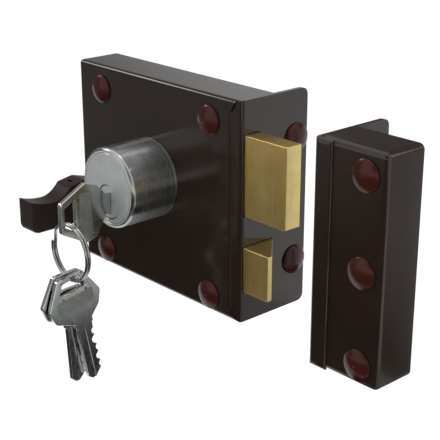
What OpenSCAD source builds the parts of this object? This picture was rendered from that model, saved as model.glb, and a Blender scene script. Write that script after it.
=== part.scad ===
// Rim box lock for the room side of a door, with its keeper, key, ring and spare keys.
// X runs towards the keeper, Y into the door and Z up.
// The origin is where the key's axis meets the door face.

/* [Case] */
// Width of the case, from its left wall to the outer face of the face plate
case_w = 116; // [104:1:135]
// Height of the case
case_h = 103; // [92:1:116]
// Depth of the case, from the door face to its front
case_d = 22; // [19.5:0.5:28]
// Distance from the face plate's outer face to the key's axis
backset = 60; // [54:1:68]
// Height of the case's top above the key's axis
key_drop = 54; // [48.5:0.5:60]
// Thickness of the pressed steel sheet
sheet = 1.5; // [1:0.1:1.8]
// Radius of the case's outer edges
edge_r = 2; // [1.8:0.1:3]

/* [Face plate] */
// Thickness of the face plate and the keeper's plate
plate_t = 2; // [1.5:0.1:2.5]
// Depth of the plates, from the case's front to the flange's rear edge
plate_depth = 41.5; // [38:0.5:50]
// Width of the face plate's front lip
lip_w = 6; // [4:0.5:8]
// Depth of the lip behind the case's front
lip_recess = 0.8; // [0.4:0.1:1]
// Height of the mitre at each end of the lip
lip_mitre = 5.5; // [3:0.5:8]
// Radius of the flange's rear corners
flange_r = 4; // [2:0.5:7]

/* [Caps and fixing holes] */
// Diameter of a screw cap
cap_d = 13.8; // [12:0.1:15]
// Height of a screw cap
cap_h = 2.6; // [2.2:0.1:3.2]
// Radius of a fixing hole
hole_r = 2.6; // [2:0.1:2.8]
// Distance from the face plate's outer face to the case's nearer fixing holes
hole_inset_right = 20; // [18:0.5:22]
// Distance from the case's left wall to its farther fixing holes
hole_inset_left = 18; // [16:0.5:22]
// Distance from the case's top to its upper fixing holes
hole_inset_top = 11.8; // [10.6:0.1:12]
// Distance from the case's bottom to its lower fixing holes
hole_inset_bottom = 8.2; // [7.5:0.1:10]
// Distance from the flange's rear edge to its fixing holes
flange_inset_rear = 7; // [6.9:0.1:12]
// Distance from each end of the flange to its fixing holes
flange_inset_end = 22.2; // [16:0.1:28]

/* [Cylinder] */
// Diameter of the lock cylinder
cyl_d = 38; // [35:0.5:42]
// Length of the cylinder in front of the case
cyl_l = 26.5; // [24:0.5:34]
// Height of the cylinder's axis above the key's axis
cyl_rise = 6.6; // [6:0.1:8]
// Diameter of the plug
plug_d = 16; // [15:0.1:17]
// Depth of the plug's face behind the cylinder's face
plug_recess = 0.6; // [0.3:0.1:1.2]
// Bevel of the cylinder's front rim
cyl_bevel = 1.8; // [1:0.1:2.2]
// Number of pin stacks
pin_count = 5; // [4:1:6]
// Diameter of a pin
pin_d = 2.8; // [2.4:0.1:3]

/* [Deadbolt] */
// Height of the deadbolt
bolt_h = 36.9; // [33:0.1:40]
// Thickness of the deadbolt
bolt_t = 9; // [8:0.1:10]
// Distance from the case's top to the deadbolt's top
bolt_top = 15.2; // [15.2:0.1:17]
// Distance from the case's front to the deadbolt's front face
bolt_front = 2.8; // [2.4:0.1:3.4]
// Length of the deadbolt that stays in the case when it is thrown
bolt_keep = 15; // [13:0.5:17]
// Number of teeth on the pinion
pinion_teeth = 10; // [9:1:12]
// Module of the pinion and the toothed tail
tooth_module = 0.8; // [0.72:0.01:0.88]

/* [Latch and pull] */
// Height of the latch
latch_h = 21.2; // [18:0.1:22]
// Projection of the latch
latch_out = 15.8; // [12:0.1:17]
// Width of the latch's flat tip
latch_tip = 2.5; // [1.5:0.1:4]
// Distance from the case's bottom to the latch's bottom
latch_rise = 15; // [13.5:0.1:16.5]
// Height of the latch's steel tail
tail_h = 9; // [8:0.5:11]
// Thickness of the latch's tail and of the deadbolt's tail
tail_t = 3; // [2.5:0.1:3.2]
// Width of the pull across the wall
pull_w = 12.4; // [11:0.1:15]
// Height of the pull
pull_h = 22; // [20:0.5:24]
// Reach of the pull in front of the case
pull_reach = 31; // [28:0.5:36]
// Depth of the thumb hollow in the pull
pull_hollow = 7.7; // [6.8:0.1:8.5]
// Gap between the pull and the case's left wall
pull_gap = 1.3; // [0.6:0.1:3]

/* [Keys and ring] */
// Thickness of a key
key_t = 2.4; // [2:0.1:2.6]
// Height of a key's bow
bow_h = 28.8; // [26:0.1:32]
// Length of a key's bow
bow_l = 25; // [22.5:0.1:29]
// Height of the blade's middle above the bow's middle
bow_drop = 2; // [0:0.1:2.5]
// Length of the neck between bow and blade
neck_l = 2.5; // [2:0.1:5]
// Height of a key's blade
blade_h = 8.4; // [7.6:0.1:9]
// Length of the slot in the bow along its inner side
slot_l = 15.6; // [14.5:0.1:17.5]
// Width of the slot in the bow
slot_w = 5.9; // [5.3:0.1:6.6]
// Outer diameter of the key ring
ring_d = 28; // [25:0.1:31]
// Thickness of the ring's wire
ring_wire = 1.5; // [1.2:0.1:1.5]
// Lean of the front spare key towards the door
lean_front = 11; // [6:1:16]
// Lean of the rear spare key towards the door
lean_rear = 3; // [0:1:10]

/* [Keeper] */
// Gap between the face plate and the keeper as shown
keeper_gap = 45; // [40:1:70]
// Width of the keeper
keeper_w = 36; // [35:0.5:42]
// Height of the case's top above the keeper's
keeper_drop = 5; // [0:0.5:6]
// Depth of the keeper's bottom below the case's
keeper_fall = 2.5; // [0:0.5:4]
// Width of the keeper plate's front lip
keeper_lip = 9; // [6:0.5:12]
// Radius of the lip's rolled free edge
keeper_roll = 1.6; // [0.8:0.1:1.8]
// Radius of the keeper's outer edges
keeper_r = 2.5; // [2:0.1:4]
// Distance from the keeper's right wall to its fixing holes
keeper_hole_inset = 10.4; // [9.5:0.1:10.5]
// Distance from the keeper's bottom to its lowest fixing hole
keeper_inset_bottom = 8.8; // [8:0.1:10]
// Distance from the keeper's top to its highest fixing hole
keeper_inset_top = 10.6; // [9.5:0.1:12]

/* [Clearances] */
// Clearance round a bolt, latch or tail that slides
slide_gap = 0.4; // [0.3:0.05:0.6]
// Radial clearance of a shaft that turns
run_gap = 0.05; // [0.03:0.01:0.08]
// Clearance between pieces that are assembled and stay still
fit_gap = 0.1; // [0.05:0.05:0.2]

/* [Hidden] */
$fn = 64;
cut = 1;

enamel = "#2e2422";
red_plastic = "#5a2420";
brown_plastic = "#3a2725";
satin_steel = "#a9aca9";
zinc_steel = "#8d9092";
brass = "#b89a55";
nickel = "#b9bab6";

top = key_drop;
bottom = top - case_h;
left = backset - case_w;
front = -case_d;
plate_in = backset - plate_t;
inner_front = front + sheet;
inner_back = -sheet;
inner_left = left + sheet;
inner_d = inner_back - inner_front;
inner_r = max(edge_r - sheet, fit_gap);

hole_x = [backset - hole_inset_right, left + hole_inset_left];
hole_z = [top - hole_inset_top, bottom + hole_inset_bottom];
flange_hole_y = front + plate_depth - flange_inset_rear;
flange_hole_z = [top - flange_inset_end, bottom + flange_inset_end];
cap_rim = 0.8;
cap_hollow_r = 4.6;
cap_hollow_h = 1.1;

pillar_r = 3.5;
pillar_inset = 7.2;
pillar_x = [backset - lip_w - slide_gap - pillar_r, left + pillar_inset];
pillar_z = [top - pillar_inset, bottom + pillar_inset];
thread_r = 1.6;
thread_l = 8;
screw_head_r = 3;
screw_head_h = 1.2;

plug_r = plug_d / 2;
cyl_face = front - cyl_l;
plug_face = cyl_face + plug_recess;
clip_w = 1.5;
clip_t = 1.2;
clip_groove = 1;
clip_r = plug_r + clip_w;
clip_y = front + run_gap;
blade_past = 2.5;
blade_l = cyl_l + blade_past;
blade_wall = 0.6;
bar_y0 = plug_face + blade_l + slide_gap + blade_wall;
pin_lead = 5;
pin_tail = 5.5;
pin_pitch = (blade_l - pin_lead - pin_tail) / (pin_count - 1);
pin_y = [for (i = [0 : pin_count - 1]) plug_face + pin_lead + i * pin_pitch];
pin_r = pin_d / 2;
key_pin_low = blade_h / 2 + slide_gap;
key_pin_high = sqrt(plug_r * plug_r - pin_r * pin_r) - run_gap;
driver_low = plug_r + 2 * run_gap;
driver_l = 5.5;
chamber_wall = 3;
chamber_top = cyl_rise + cyl_d / 2 - chamber_wall;
pin_spring_wire = 0.3;
pin_spring_turns = 5;
cyl_screw_x = 9;
cyl_screw_rise = 5;
cyl_screw_z = cyl_rise + cyl_screw_rise;
cyl_screw_r = 2;
cyl_screw_l = 10;
cyl_head_r = 3.4;
cyl_head_h = 2;

pitch_r = tooth_module * pinion_teeth / 2;
tooth_pitch = PI * tooth_module;
throw = tooth_pitch * pinion_teeth;
addendum_share = 0.9;
dedendum_share = 1.3;
tooth_share = 0.2;
root_share = 0.5;
pressure_angle = 20;
addendum = addendum_share * tooth_module;
dedendum = dedendum_share * tooth_module;
tooth_half = tooth_share * tooth_pitch;
tooth_slope = tan(pressure_angle);
bolt_proud = 0.1;
bolt_z1 = top - bolt_top;
bolt_z0 = bolt_z1 - bolt_h;
bolt_y0 = front + bolt_front;
bolt_y1 = bolt_y0 + bolt_t;
bolt_in = backset - bolt_keep;
bolt_tip = backset + throw + bolt_proud;
slide_wall = 1.6;
slide_y0 = bolt_y1 - slide_wall - tail_t;
slide_grip = 10;
rack_low = pitch_r;
rack_root = rack_low + dedendum;
rack_lead = 2;
slide_h = 21;
slide_z1 = rack_root + slide_h;
slide_x0 = -(rack_lead + 1) * tooth_pitch;
tongue_z0 = rack_root + 2 * tooth_pitch;
rivet_r = 1.5;
rivet_inset = 4;
rivet_z = [tongue_z0 + rivet_inset, slide_z1 - rivet_inset];
post_r = 3;
post_x = 4;
post_inset = 7;
post_z = slide_z1 - post_inset;
pinion_w = 4.4;
pinion_y0 = slide_y0 + tail_t / 2 - pinion_w / 2;
pinion_y1 = pinion_y0 + pinion_w;
hub_r = 2.4;
bearing_r = 5;
bearing_l = 3;
bar_w = 1.6;
bar_h = 2.6;

latch_z0 = bottom + latch_rise;
latch_z1 = latch_z0 + latch_h;
latch_zc = (latch_z0 + latch_z1) / 2;
latch_y0 = front + max(sheet, plate_t) + slide_gap;
latch_y1 = inner_back - slide_gap;
latch_keep = 16;
latch_in = backset - latch_keep;
latch_end = backset + latch_out;
tail_grip = 10;
tail_y0 = front / 2 - tail_t / 2;
tail_y1 = tail_y0 + tail_t;
latch_rivet_r = 1.2;
latch_rivet_z = [latch_zc - tail_h / 4, latch_zc + tail_h / 4];
latch_rivet_inset = 6;
latch_rivet_x = latch_in + latch_rivet_inset;
spring_y = (tail_y1 + inner_back) / 2;
spring_r = 2.4;
spring_wire = 0.45;
spring_turns = 9;
rod_r = 1.5;
rod_grip = 2;
stop_t = 2;
spring_room = 12;
stop_x = latch_in - latch_out - spring_room;
stop_h = 10;
coil_rings = 12;
coil_sides = 6;

pull_x1 = left - pull_gap;
pull_x0 = pull_x1 - pull_w;
pull_rise = 3;
pull_z1 = latch_zc + pull_h / 2 + pull_rise;
pull_z0 = pull_z1 - pull_h;
pull_y0 = front - pull_reach;
pull_heel = 3.5;
pull_y1 = tail_y1 + pull_heel;
pull_round = 3;
hollow_share = 0.57;
hollow_y = front - hollow_share * pull_reach;
hollow_back = 10.3;
ridge_share = 0.8;
ridge_rise = ridge_share * pull_hollow;
ridge_y = hollow_y + hollow_back;
ridge_z = pull_z1 - pull_hollow + ridge_rise;
crest_y = front + sheet;
crest_slope = (pull_z1 - ridge_z) / (crest_y - ridge_y);
pull_fall = 4;
hollow_back_r = (hollow_back * hollow_back + ridge_rise * ridge_rise) / (2 * ridge_rise);
hollow_lip = 2.6;
hollow_front = hollow_y - pull_y0;
hollow_front_r = (hollow_front * hollow_front + hollow_lip * hollow_lip) / (2 * hollow_lip);
arm_t = 3;
arm_x0 = (pull_x0 + pull_x1 - arm_t) / 2;
arm_reach = 7;
arm_y0 = front - arm_reach;
pull_pin_r = 1;
pull_pin_y = front - arm_reach / 2;
pull_pin_sink = 0.4;

slot_inset = 2.2;
far_half = 7;
wide_share = 0.54;
shoulder_share = 0.81;
shoulder_h_share = 0.42;
neck_step = 0.8;
bow_wide = wide_share * bow_l;
shoulder_at = shoulder_share * bow_l;
shoulder_half = shoulder_h_share * bow_h;
neck_half = blade_h / 2 + neck_step;
bow_slope = (bow_h / 2 - far_half) / bow_wide;
slot_far = slot_l / 2 - bow_slope * slot_w;
bow_rim = 2.2;
panel_w = 6.8;
panel_depth = 0.35;
cut_depths = [1.2, 2.0, 0.9, 1.7, 1.1, 1.5];
cut_flat = 0.7;
groove_h = 1.5;
groove_depth = 0.5;
ring_r = ring_d / 2;
wire_r = ring_wire / 2;
ring_mean = ring_r - wire_r;
turn_share = 0.93;
turn_half = turn_share * wire_r;
ring_lift = 0.7;
ring_seat = ring_lift + wire_r + bow_slope * (turn_half + wire_r);
ring_y = plug_face - neck_l - bow_l + slot_inset + slot_w / 2;
ring_top_z = ring_seat - (slot_l / 2 + slot_far) / 2 - bow_drop;
ring_z = ring_top_z - ring_mean;
ring_low_z = ring_z - ring_mean;
spare_gap = 0.9;
spare_step = (key_t + spare_gap) / 2;
hang_depth = 1.6;
hang_x = -neck_l - bow_l + slot_inset + hang_depth;
hang_side = 2.6;
hang_y = hang_side - bow_drop;

keeper_x = backset + keeper_gap;
keeper_in = keeper_x + plate_t;
keeper_right = keeper_x + keeper_w;
keeper_top = top - keeper_drop;
keeper_bottom = bottom - keeper_fall;
keeper_inner_r = max(keeper_r - sheet, fit_gap);
keeper_hole_x = keeper_right - keeper_hole_inset;
keeper_hole_span = (keeper_top - keeper_bottom - keeper_inset_top - keeper_inset_bottom) / 2;
keeper_hole_z = [for (i = [0 : 2]) keeper_bottom + keeper_inset_bottom + i * keeper_hole_span];
keeper_pillar_r = 3;
keeper_pillar_x = keeper_right - keeper_r - slide_gap - keeper_pillar_r;
keeper_pillar_z = [for (i = [0 : 1]) (keeper_hole_z[i] + keeper_hole_z[i + 1]) / 2];
window_gap = 1;

// Rectangle with round corners, from its lower left corner
module round_rect(w, h, r) {
    translate([r, 0]) square([w - 2 * r, h]);
    translate([0, r]) square([w, h - 2 * r]);
    for (x = [r, w - r], y = [r, h - r]) translate([x, y]) circle(r = r);
}

// Block between two corners
module block(low, high) {
    translate(low) cube(high - low);
}

// Block between two corners with every edge rounded
module soft_block(low, high, r) {
    size = high - low;
    intersection() {
        translate(low) linear_extrude(size.z) round_rect(size.x, size.y, r);
        translate([low.x, high.y, low.z]) rotate([90, 0, 0])
            linear_extrude(size.y) round_rect(size.x, size.z, r);
        translate(low) rotate([90, 0, 90]) linear_extrude(size.x) round_rect(size.y, size.z, r);
    }
}

// Cylinder along +Y from a starting point
module rod_y(start, r, length) {
    translate(start) rotate([-90, 0, 0]) cylinder(r = r, h = length);
}

// Cylinder along +X from a starting point
module rod_x(start, r, length) {
    translate(start) rotate([0, 90, 0]) cylinder(r = r, h = length);
}

// Cylinder along +Z from a starting point
module rod_z(start, r, length) {
    translate(start) cylinder(r = r, h = length);
}

// Outline in the XZ plane, extruded from y0 to y1
module across(y0, y1) {
    translate([0, y1, 0]) rotate([90, 0, 0]) linear_extrude(y1 - y0) children();
}

// Countersunk screw whose head lies flush at the start and whose shank runs towards -Y
module flush_screw(start) {
    translate(start) rotate([90, 0, 0]) {
        cylinder(r1 = screw_head_r, r2 = thread_r, h = screw_head_h);
        cylinder(r = thread_r, h = thread_l);
    }
}

// Room for such a screw, open at its head
module screw_room(start) {
    flush_screw(start);
    rod_y(start, screw_head_r, cut);
}

// Point on a spring's wire at turn angle a and wire angle b
function coil_point(a, b, z, r, w) =
    let (out = r + w * cos(b)) [out * cos(a), out * sin(a), z + w * sin(b)];

// Helical spring that stands on z = 0
module coil(r, w, length, turns) {
    steps = turns * coil_rings;
    last = steps * coil_sides;
    points = [
        for (i = [0 : steps], k = [0 : coil_sides - 1])
            coil_point(i * 360 / coil_rings, k * 360 / coil_sides, w + i / steps * (length - 2 * w), r, w)
    ];
    walls = [
        for (i = [0 : steps - 1], k = [0 : coil_sides - 1])
            let (a = i * coil_sides + k, b = i * coil_sides + (k + 1) % coil_sides)
            each [[a, b, a + coil_sides], [b, b + coil_sides, a + coil_sides]]
    ];
    first_end = [for (k = [1 : coil_sides - 2]) [0, k + 1, k]];
    last_end = [for (k = [1 : coil_sides - 2]) [last, last + k, last + k + 1]];
    polyhedron(points, concat(walls, first_end, last_end));
}

// Domed cap with a hollow for the screw head, its rim on z = 0
module cap() {
    dome = cap_h - cap_rim;
    dome_r = (cap_d * cap_d / 4 + dome * dome) / (2 * dome);
    difference() {
        union() {
            cylinder(d = cap_d, h = cap_rim);
            intersection() {
                translate([0, 0, cap_h - dome_r]) sphere(r = dome_r);
                cylinder(d = cap_d, h = cap_h);
            }
        }
        translate([0, 0, -cut]) cylinder(r = cap_hollow_r, h = cap_hollow_h + cut);
    }
}

// What is taken off to round a corner that points to -X and -Y, its tip on the origin
module corner_trim(r) {
    difference() {
        translate([-cut, -cut]) square(r + cut);
        translate([r, r]) circle(r = r);
    }
}

// Plate with a rounded front bend, a front lip along +X and a flange to the rear, its outer face on x = 0
module edge_plate(low, high, lip, mitre, lip_y, roll) {
    height = high - low;
    depth = front + plate_depth - lip_y;
    corner_y = depth - flange_r;
    lip_t = min(plate_t, front + plate_t - lip_y);
    difference() {
        union() {
            translate([0, lip_y, low]) rotate([90, 0, 90]) linear_extrude(plate_t) {
                square([corner_y, height]);
                translate([0, flange_r]) square([depth, height - 2 * flange_r]);
                for (z = [flange_r, height - flange_r]) translate([corner_y, z]) circle(r = flange_r);
            }
            across(lip_y, lip_y + lip_t)
                polygon([[0, low], [0, high], [plate_t, high], [lip, high - mitre],
                    [lip, low + mitre], [plate_t, low]]);
        }
        translate([0, lip_y, low - cut]) linear_extrude(height + 2 * cut) {
            corner_trim(plate_t);
            if (roll > 0) translate([lip, 0]) mirror([1, 0]) corner_trim(roll);
        }
    }
}

// Space that the bolt needs between two X planes, with a clearance all round
module bolt_window(x0, x1, gap) {
    block([x0, bolt_y0 - gap, bolt_z0 - gap], [x1, bolt_y1 + gap, bolt_z1 + gap]);
}

// Space that the latch needs between two X planes, with a clearance all round
module latch_window(x0, x1, gap) {
    block([x0, latch_y0 - gap, latch_z0 - gap], [x1, latch_y1 + gap, latch_z1 + gap]);
}

// Places its children at the case's four fixing holes
module at_case_holes(y) {
    for (x = hole_x, z = hole_z) translate([x, y, z]) children();
}

// Places its children at the keeper's three fixing holes
module at_keeper_holes(y) {
    for (z = keeper_hole_z) translate([keeper_hole_x, y, z]) children();
}

// Space taken out of the cover for the face plate's lip
module lip_room() {
    edge = backset - lip_w - fit_gap;
    across(front - cut, inner_front + cut)
        polygon([[plate_in + cut, bottom - fit_gap], [plate_in, bottom - fit_gap],
            [edge, bottom + lip_mitre - fit_gap], [edge, top - lip_mitre + fit_gap],
            [plate_in, top + fit_gap], [plate_in + cut, top + fit_gap]]);
}

module case_cover() {
    past = 4 * edge_r;
    color(enamel) difference() {
        intersection() {
            soft_block([left, front, bottom], [plate_in + past, past, top], edge_r);
            block([left, front, bottom], [plate_in, 0, top]);
        }
        soft_block([inner_left, inner_front, bottom + sheet], [plate_in + past, past, top - sheet], inner_r);
        lip_room();
        at_case_holes(front - cut) rod_y([0, 0, 0], hole_r, sheet + 2 * cut);
        rod_y([0, front - cut, 0], clip_r + slide_gap, sheet + 2 * cut);
        for (x = [-cyl_screw_x, cyl_screw_x])
            rod_y([x, front - cut, cyl_screw_z], cyl_screw_r + fit_gap, sheet + 2 * cut);
        block([left - cut, tail_y0 - slide_gap, latch_zc - tail_h / 2 - slide_gap],
            [inner_left + cut, tail_y1 + slide_gap, latch_zc + tail_h / 2 + slide_gap]);
    }
}

module face_plate() {
    color(enamel) difference() {
        translate([backset, 0, 0]) mirror([1, 0, 0])
            edge_plate(bottom, top, lip_w, lip_mitre, front + lip_recess, 0);
        bolt_window(plate_in - cut, backset + cut, slide_gap);
        latch_window(plate_in - cut, backset + cut, slide_gap);
        for (z = flange_hole_z) rod_x([plate_in - cut, flange_hole_y, z], hole_r, plate_t + 2 * cut);
    }
}

// Flat sheet that closes a cover's back, with round corners on one side: its square side is x = 0
module back_sheet(width, low, high, r) {
    start = low + sheet + fit_gap;
    height = high - sheet - fit_gap - start;
    across(inner_back, 0) {
        translate([0, start]) square([width - r, height]);
        translate([0, start]) round_rect(width, height, r);
    }
}

module back_plate() {
    color(zinc_steel) difference() {
        translate([plate_in, 0, 0]) mirror([1, 0, 0])
            back_sheet(plate_in - inner_left - fit_gap, bottom, top, inner_r);
        at_case_holes(inner_back - cut) rod_y([0, 0, 0], hole_r, sheet + 2 * cut);
        for (x = pillar_x, z = pillar_z) screw_room([x, 0, z]);
    }
}

module case_pillars() {
    color(zinc_steel) for (x = pillar_x, z = pillar_z) difference() {
        rod_y([x, inner_front, z], pillar_r, inner_d);
        flush_screw([x, 0, z]);
    }
}

module back_screws() {
    color(zinc_steel) for (x = pillar_x, z = pillar_z) flush_screw([x, 0, z]);
}

module case_caps() {
    color(red_plastic) at_case_holes(front) rotate([90, 0, 0]) cap();
}

module flange_caps() {
    color(red_plastic) for (z = flange_hole_z)
        translate([backset, flange_hole_y, z]) rotate([0, 90, 0]) cap();
}

module cylinder_body() {
    color(satin_steel) difference() {
        translate([0, front, cyl_rise]) rotate([90, 0, 0]) {
            cylinder(d = cyl_d, h = cyl_l - cyl_bevel);
            translate([0, 0, cyl_l - cyl_bevel])
                cylinder(d1 = cyl_d, d2 = cyl_d - 2 * cyl_bevel, h = cyl_bevel);
        }
        rod_y([0, cyl_face - cut, 0], plug_r + run_gap, cyl_l + 2 * cut);
        for (y = pin_y) rod_z([0, y, 0], pin_r + run_gap, chamber_top);
        for (x = [-cyl_screw_x, cyl_screw_x])
            rod_y([x, front - cyl_screw_l, cyl_screw_z], cyl_screw_r, cyl_screw_l + cut);
    }
}

module cylinder_screws() {
    color(zinc_steel) for (x = [-cyl_screw_x, cyl_screw_x]) {
        rod_y([x, front - cyl_screw_l, cyl_screw_z], cyl_screw_r, cyl_screw_l + sheet);
        rod_y([x, inner_front, cyl_screw_z], cyl_head_r, cyl_head_h);
    }
}

module driver_pins() {
    color(brass) for (y = pin_y) rod_z([0, y, driver_low], pin_r, driver_l);
}

module pin_springs() {
    length = chamber_top - driver_low - driver_l;
    color(zinc_steel) for (y = pin_y)
        translate([0, y, driver_low + driver_l])
            coil(pin_r - 2 * pin_spring_wire, pin_spring_wire, length, pin_spring_turns);
}

module guide_post() {
    color(zinc_steel) rod_y([post_x, inner_front, post_z], post_r, inner_d);
}

module pinion_bearing() {
    color(brass) difference() {
        rod_y([0, inner_back - bearing_l, 0], bearing_r, bearing_l);
        rod_y([0, inner_back - bearing_l - cut, 0], hub_r + run_gap, bearing_l + 2 * cut);
    }
}

module spring_stop() {
    color(zinc_steel) difference() {
        block([stop_x - stop_t, tail_y1 + slide_gap, latch_zc - stop_h / 2],
            [stop_x, inner_back, latch_zc + stop_h / 2]);
        rod_x([stop_x - stop_t - cut, spring_y, latch_zc], rod_r + slide_gap, stop_t + 2 * cut);
    }
}

module plug() {
    slot_x = key_t / 2 + slide_gap / 2;
    slot_z = blade_h / 2 + slide_gap / 2;
    color(satin_steel) difference() {
        rod_y([0, plug_face, 0], plug_r, pinion_y0 - plug_face);
        block([-slot_x, plug_face - cut, -slot_z], [slot_x, plug_face + blade_l + slide_gap, slot_z]);
        for (y = pin_y) rod_z([0, y, 0], pin_r + run_gap, plug_r + cut);
        plug_clip();
        tail_section(bar_y0, pinion_y0 + cut);
    }
}

// Flat bar on the key's axis between two Y planes
module tail_section(y0, y1) {
    block([-bar_w / 2, y0, -bar_h / 2], [bar_w / 2, y1, bar_h / 2]);
}

module key_pins() {
    color(brass) for (y = pin_y) rod_z([0, y, key_pin_low], pin_r, key_pin_high - key_pin_low);
}

module plug_clip() {
    color(zinc_steel) difference() {
        rod_y([0, clip_y, 0], clip_r, clip_t);
        rod_y([0, clip_y - cut, 0], plug_r - clip_groove, clip_t + 2 * cut);
    }
}

module tail_bar() {
    color(zinc_steel) tail_section(bar_y0, inner_back - 2 * fit_gap);
}

// Tooth that points along +Y, from below the root circle to the tip circle
module pinion_tooth() {
    low = pitch_r - dedendum - fit_gap;
    high = pitch_r + addendum;
    low_half = tooth_half + dedendum * tooth_slope * root_share;
    high_half = tooth_half - addendum * tooth_slope;
    polygon([[-low_half, low], [-tooth_half, pitch_r], [-high_half, high],
        [high_half, high], [tooth_half, pitch_r], [low_half, low]]);
}

module pinion() {
    color(zinc_steel) difference() {
        union() {
            across(pinion_y0, pinion_y1) {
                circle(r = pitch_r - dedendum);
                for (i = [0 : pinion_teeth - 1]) rotate(i * 360 / pinion_teeth) pinion_tooth();
            }
            rod_y([0, pinion_y1, 0], hub_r, inner_back - 2 * fit_gap - pinion_y1);
        }
        tail_section(pinion_y0 - cut, cut);
    }
}

module deadbolt() {
    color(brass) difference() {
        bolt_window(bolt_in, bolt_tip, 0);
        block([bolt_in - cut, slide_y0, tongue_z0], [bolt_in + slide_grip, slide_y0 + tail_t, slide_z1]);
        deadbolt_rivets(cut);
    }
}

// Outline of the deadbolt's toothed tail in the XZ plane
module slide_outline() {
    difference() {
        union() {
            translate([slide_x0, rack_root]) square([bolt_in - slide_gap - slide_x0, slide_h]);
            translate([slide_x0, tongue_z0])
                square([bolt_in + slide_grip - slide_x0, slide_z1 - tongue_z0]);
            for (i = [-rack_lead : pinion_teeth + rack_lead - 1])
                translate([(i + 1 / 2) * tooth_pitch, rack_low]) rack_tooth();
        }
        translate([post_x, post_z]) circle(r = post_r + slide_gap);
        translate([post_x + throw, post_z]) circle(r = post_r + slide_gap);
        translate([post_x, post_z - post_r - slide_gap]) square([throw, 2 * (post_r + slide_gap)]);
    }
}

// Tooth that points along -Y from the root line, its pitch line on y = 0
module rack_tooth() {
    low_half = tooth_half - addendum * tooth_slope;
    high_half = tooth_half + dedendum * tooth_slope;
    polygon([[-low_half, -addendum], [low_half, -addendum], [high_half, dedendum], [-high_half, dedendum]]);
}

module deadbolt_slide() {
    color(zinc_steel) difference() {
        across(slide_y0, slide_y0 + tail_t) slide_outline();
        deadbolt_rivets();
    }
}

// Rivets through the deadbolt, longer at both ends by the given length
module deadbolt_rivets(past = 0) {
    color(zinc_steel) for (z = rivet_z)
        rod_y([bolt_in + slide_grip / 2, bolt_y0 - past, z], rivet_r, bolt_t + 2 * past);
}

module latch_bolt() {
    color(brass) difference() {
        translate([0, 0, latch_z0]) linear_extrude(latch_h)
            polygon([[latch_in, latch_y0], [latch_end, latch_y0], [latch_end, latch_y0 + latch_tip],
                [backset + bolt_proud, latch_y1], [latch_in, latch_y1]]);
        block([latch_in - cut, tail_y0, latch_zc - tail_h / 2],
            [latch_in + tail_grip, tail_y1, latch_zc + tail_h / 2]);
        latch_rivets(cut);
        rod_x([latch_in - cut, spring_y, latch_zc], rod_r, rod_grip + cut);
    }
}

module latch_tail() {
    color(zinc_steel) difference() {
        tail_room(latch_in + tail_grip);
        latch_rivets();
        pull_pin();
    }
}

// Space of the latch's tail up to a given X, with the arm at its end that turns to the front
module tail_room(x1) {
    low = latch_zc - tail_h / 2;
    high = latch_zc + tail_h / 2;
    block([arm_x0, tail_y0, low], [x1, tail_y1, high]);
    block([arm_x0, arm_y0, low], [arm_x0 + arm_t, tail_y1, high]);
}

// Rivets through the latch, longer at both ends by the given length
module latch_rivets(past = 0) {
    color(zinc_steel) for (z = latch_rivet_z)
        rod_y([latch_rivet_x, latch_y0 - past, z], latch_rivet_r, latch_y1 - latch_y0 + 2 * past);
}

module spring_rod() {
    start = stop_x - stop_t - rod_grip;
    color(zinc_steel) rod_x([start, spring_y, latch_zc], rod_r, latch_in + rod_grip - start);
}

module latch_spring() {
    color(zinc_steel) translate([stop_x, spring_y, latch_zc]) rotate([0, 90, 0])
        coil(spring_r, spring_wire, latch_in - stop_x, spring_turns);
}

// Side outline of the pull: first axis along Y, second along Z
module pull_outline() {
    low = pull_z1 - pull_hollow;
    run_in = ridge_z - crest_slope * hollow_back;
    difference() {
        union() {
            polygon([[pull_y0 + pull_round, pull_z0], [pull_y1, pull_z0], [pull_y1, pull_z1 - pull_fall],
                [crest_y, pull_z1], [hollow_y, run_in], [pull_y0, run_in],
                [pull_y0, pull_z0 + pull_round]]);
            translate([pull_y0 + pull_round, pull_z0 + pull_round]) circle(r = pull_round);
        }
        translate([hollow_y, low + hollow_back_r]) circle(r = hollow_back_r);
        intersection() {
            translate([hollow_y, low + hollow_front_r]) circle(r = hollow_front_r);
            translate([pull_y0 - cut, low]) square([hollow_front + cut, 2 * hollow_front_r]);
        }
    }
}

module pull_handle() {
    color(brown_plastic) difference() {
        translate([pull_x0, 0, 0]) rotate([90, 0, 90]) linear_extrude(pull_w) pull_outline();
        tail_room(pull_x1 + cut);
        pull_pin(2 * cut);
    }
}

// Cross pin of the pull, longer at its upper end by the given length
module pull_pin(past = 0) {
    length = ridge_z - pull_pin_sink - pull_z0 - pull_round + past;
    color(zinc_steel) rod_z([arm_x0 + arm_t / 2, pull_pin_y, pull_z0 + pull_round], pull_pin_r, length);
}

// Outline of a key with its blade along +X, its shoulder on x = 0 and its cuts along the top edge
module key_outline() {
    far = -neck_l - bow_l;
    difference() {
        union() {
            polygon([[far, -far_half - bow_drop], [far + bow_wide, -bow_h / 2 - bow_drop],
                [far + shoulder_at, -shoulder_half - bow_drop], [-neck_l, -neck_half], [-neck_l, neck_half],
                [far + shoulder_at, shoulder_half - bow_drop], [far + bow_wide, bow_h / 2 - bow_drop],
                [far, far_half - bow_drop]]);
            translate([-neck_l, -neck_half]) square([neck_l, 2 * neck_half]);
            polygon([[0, -blade_h / 2], [blade_l - blade_h / 4, -blade_h / 2], [blade_l, -blade_h / 4],
                [blade_l, 0], [blade_l - blade_h / 2, blade_h / 2], [0, blade_h / 2]]);
        }
        translate([0, -bow_drop]) bow_slot(far);
        for (i = [0 : pin_count - 1])
            translate([pin_lead + i * pin_pitch, blade_h / 2]) key_cut(cut_depths[i]);
    }
}

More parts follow.
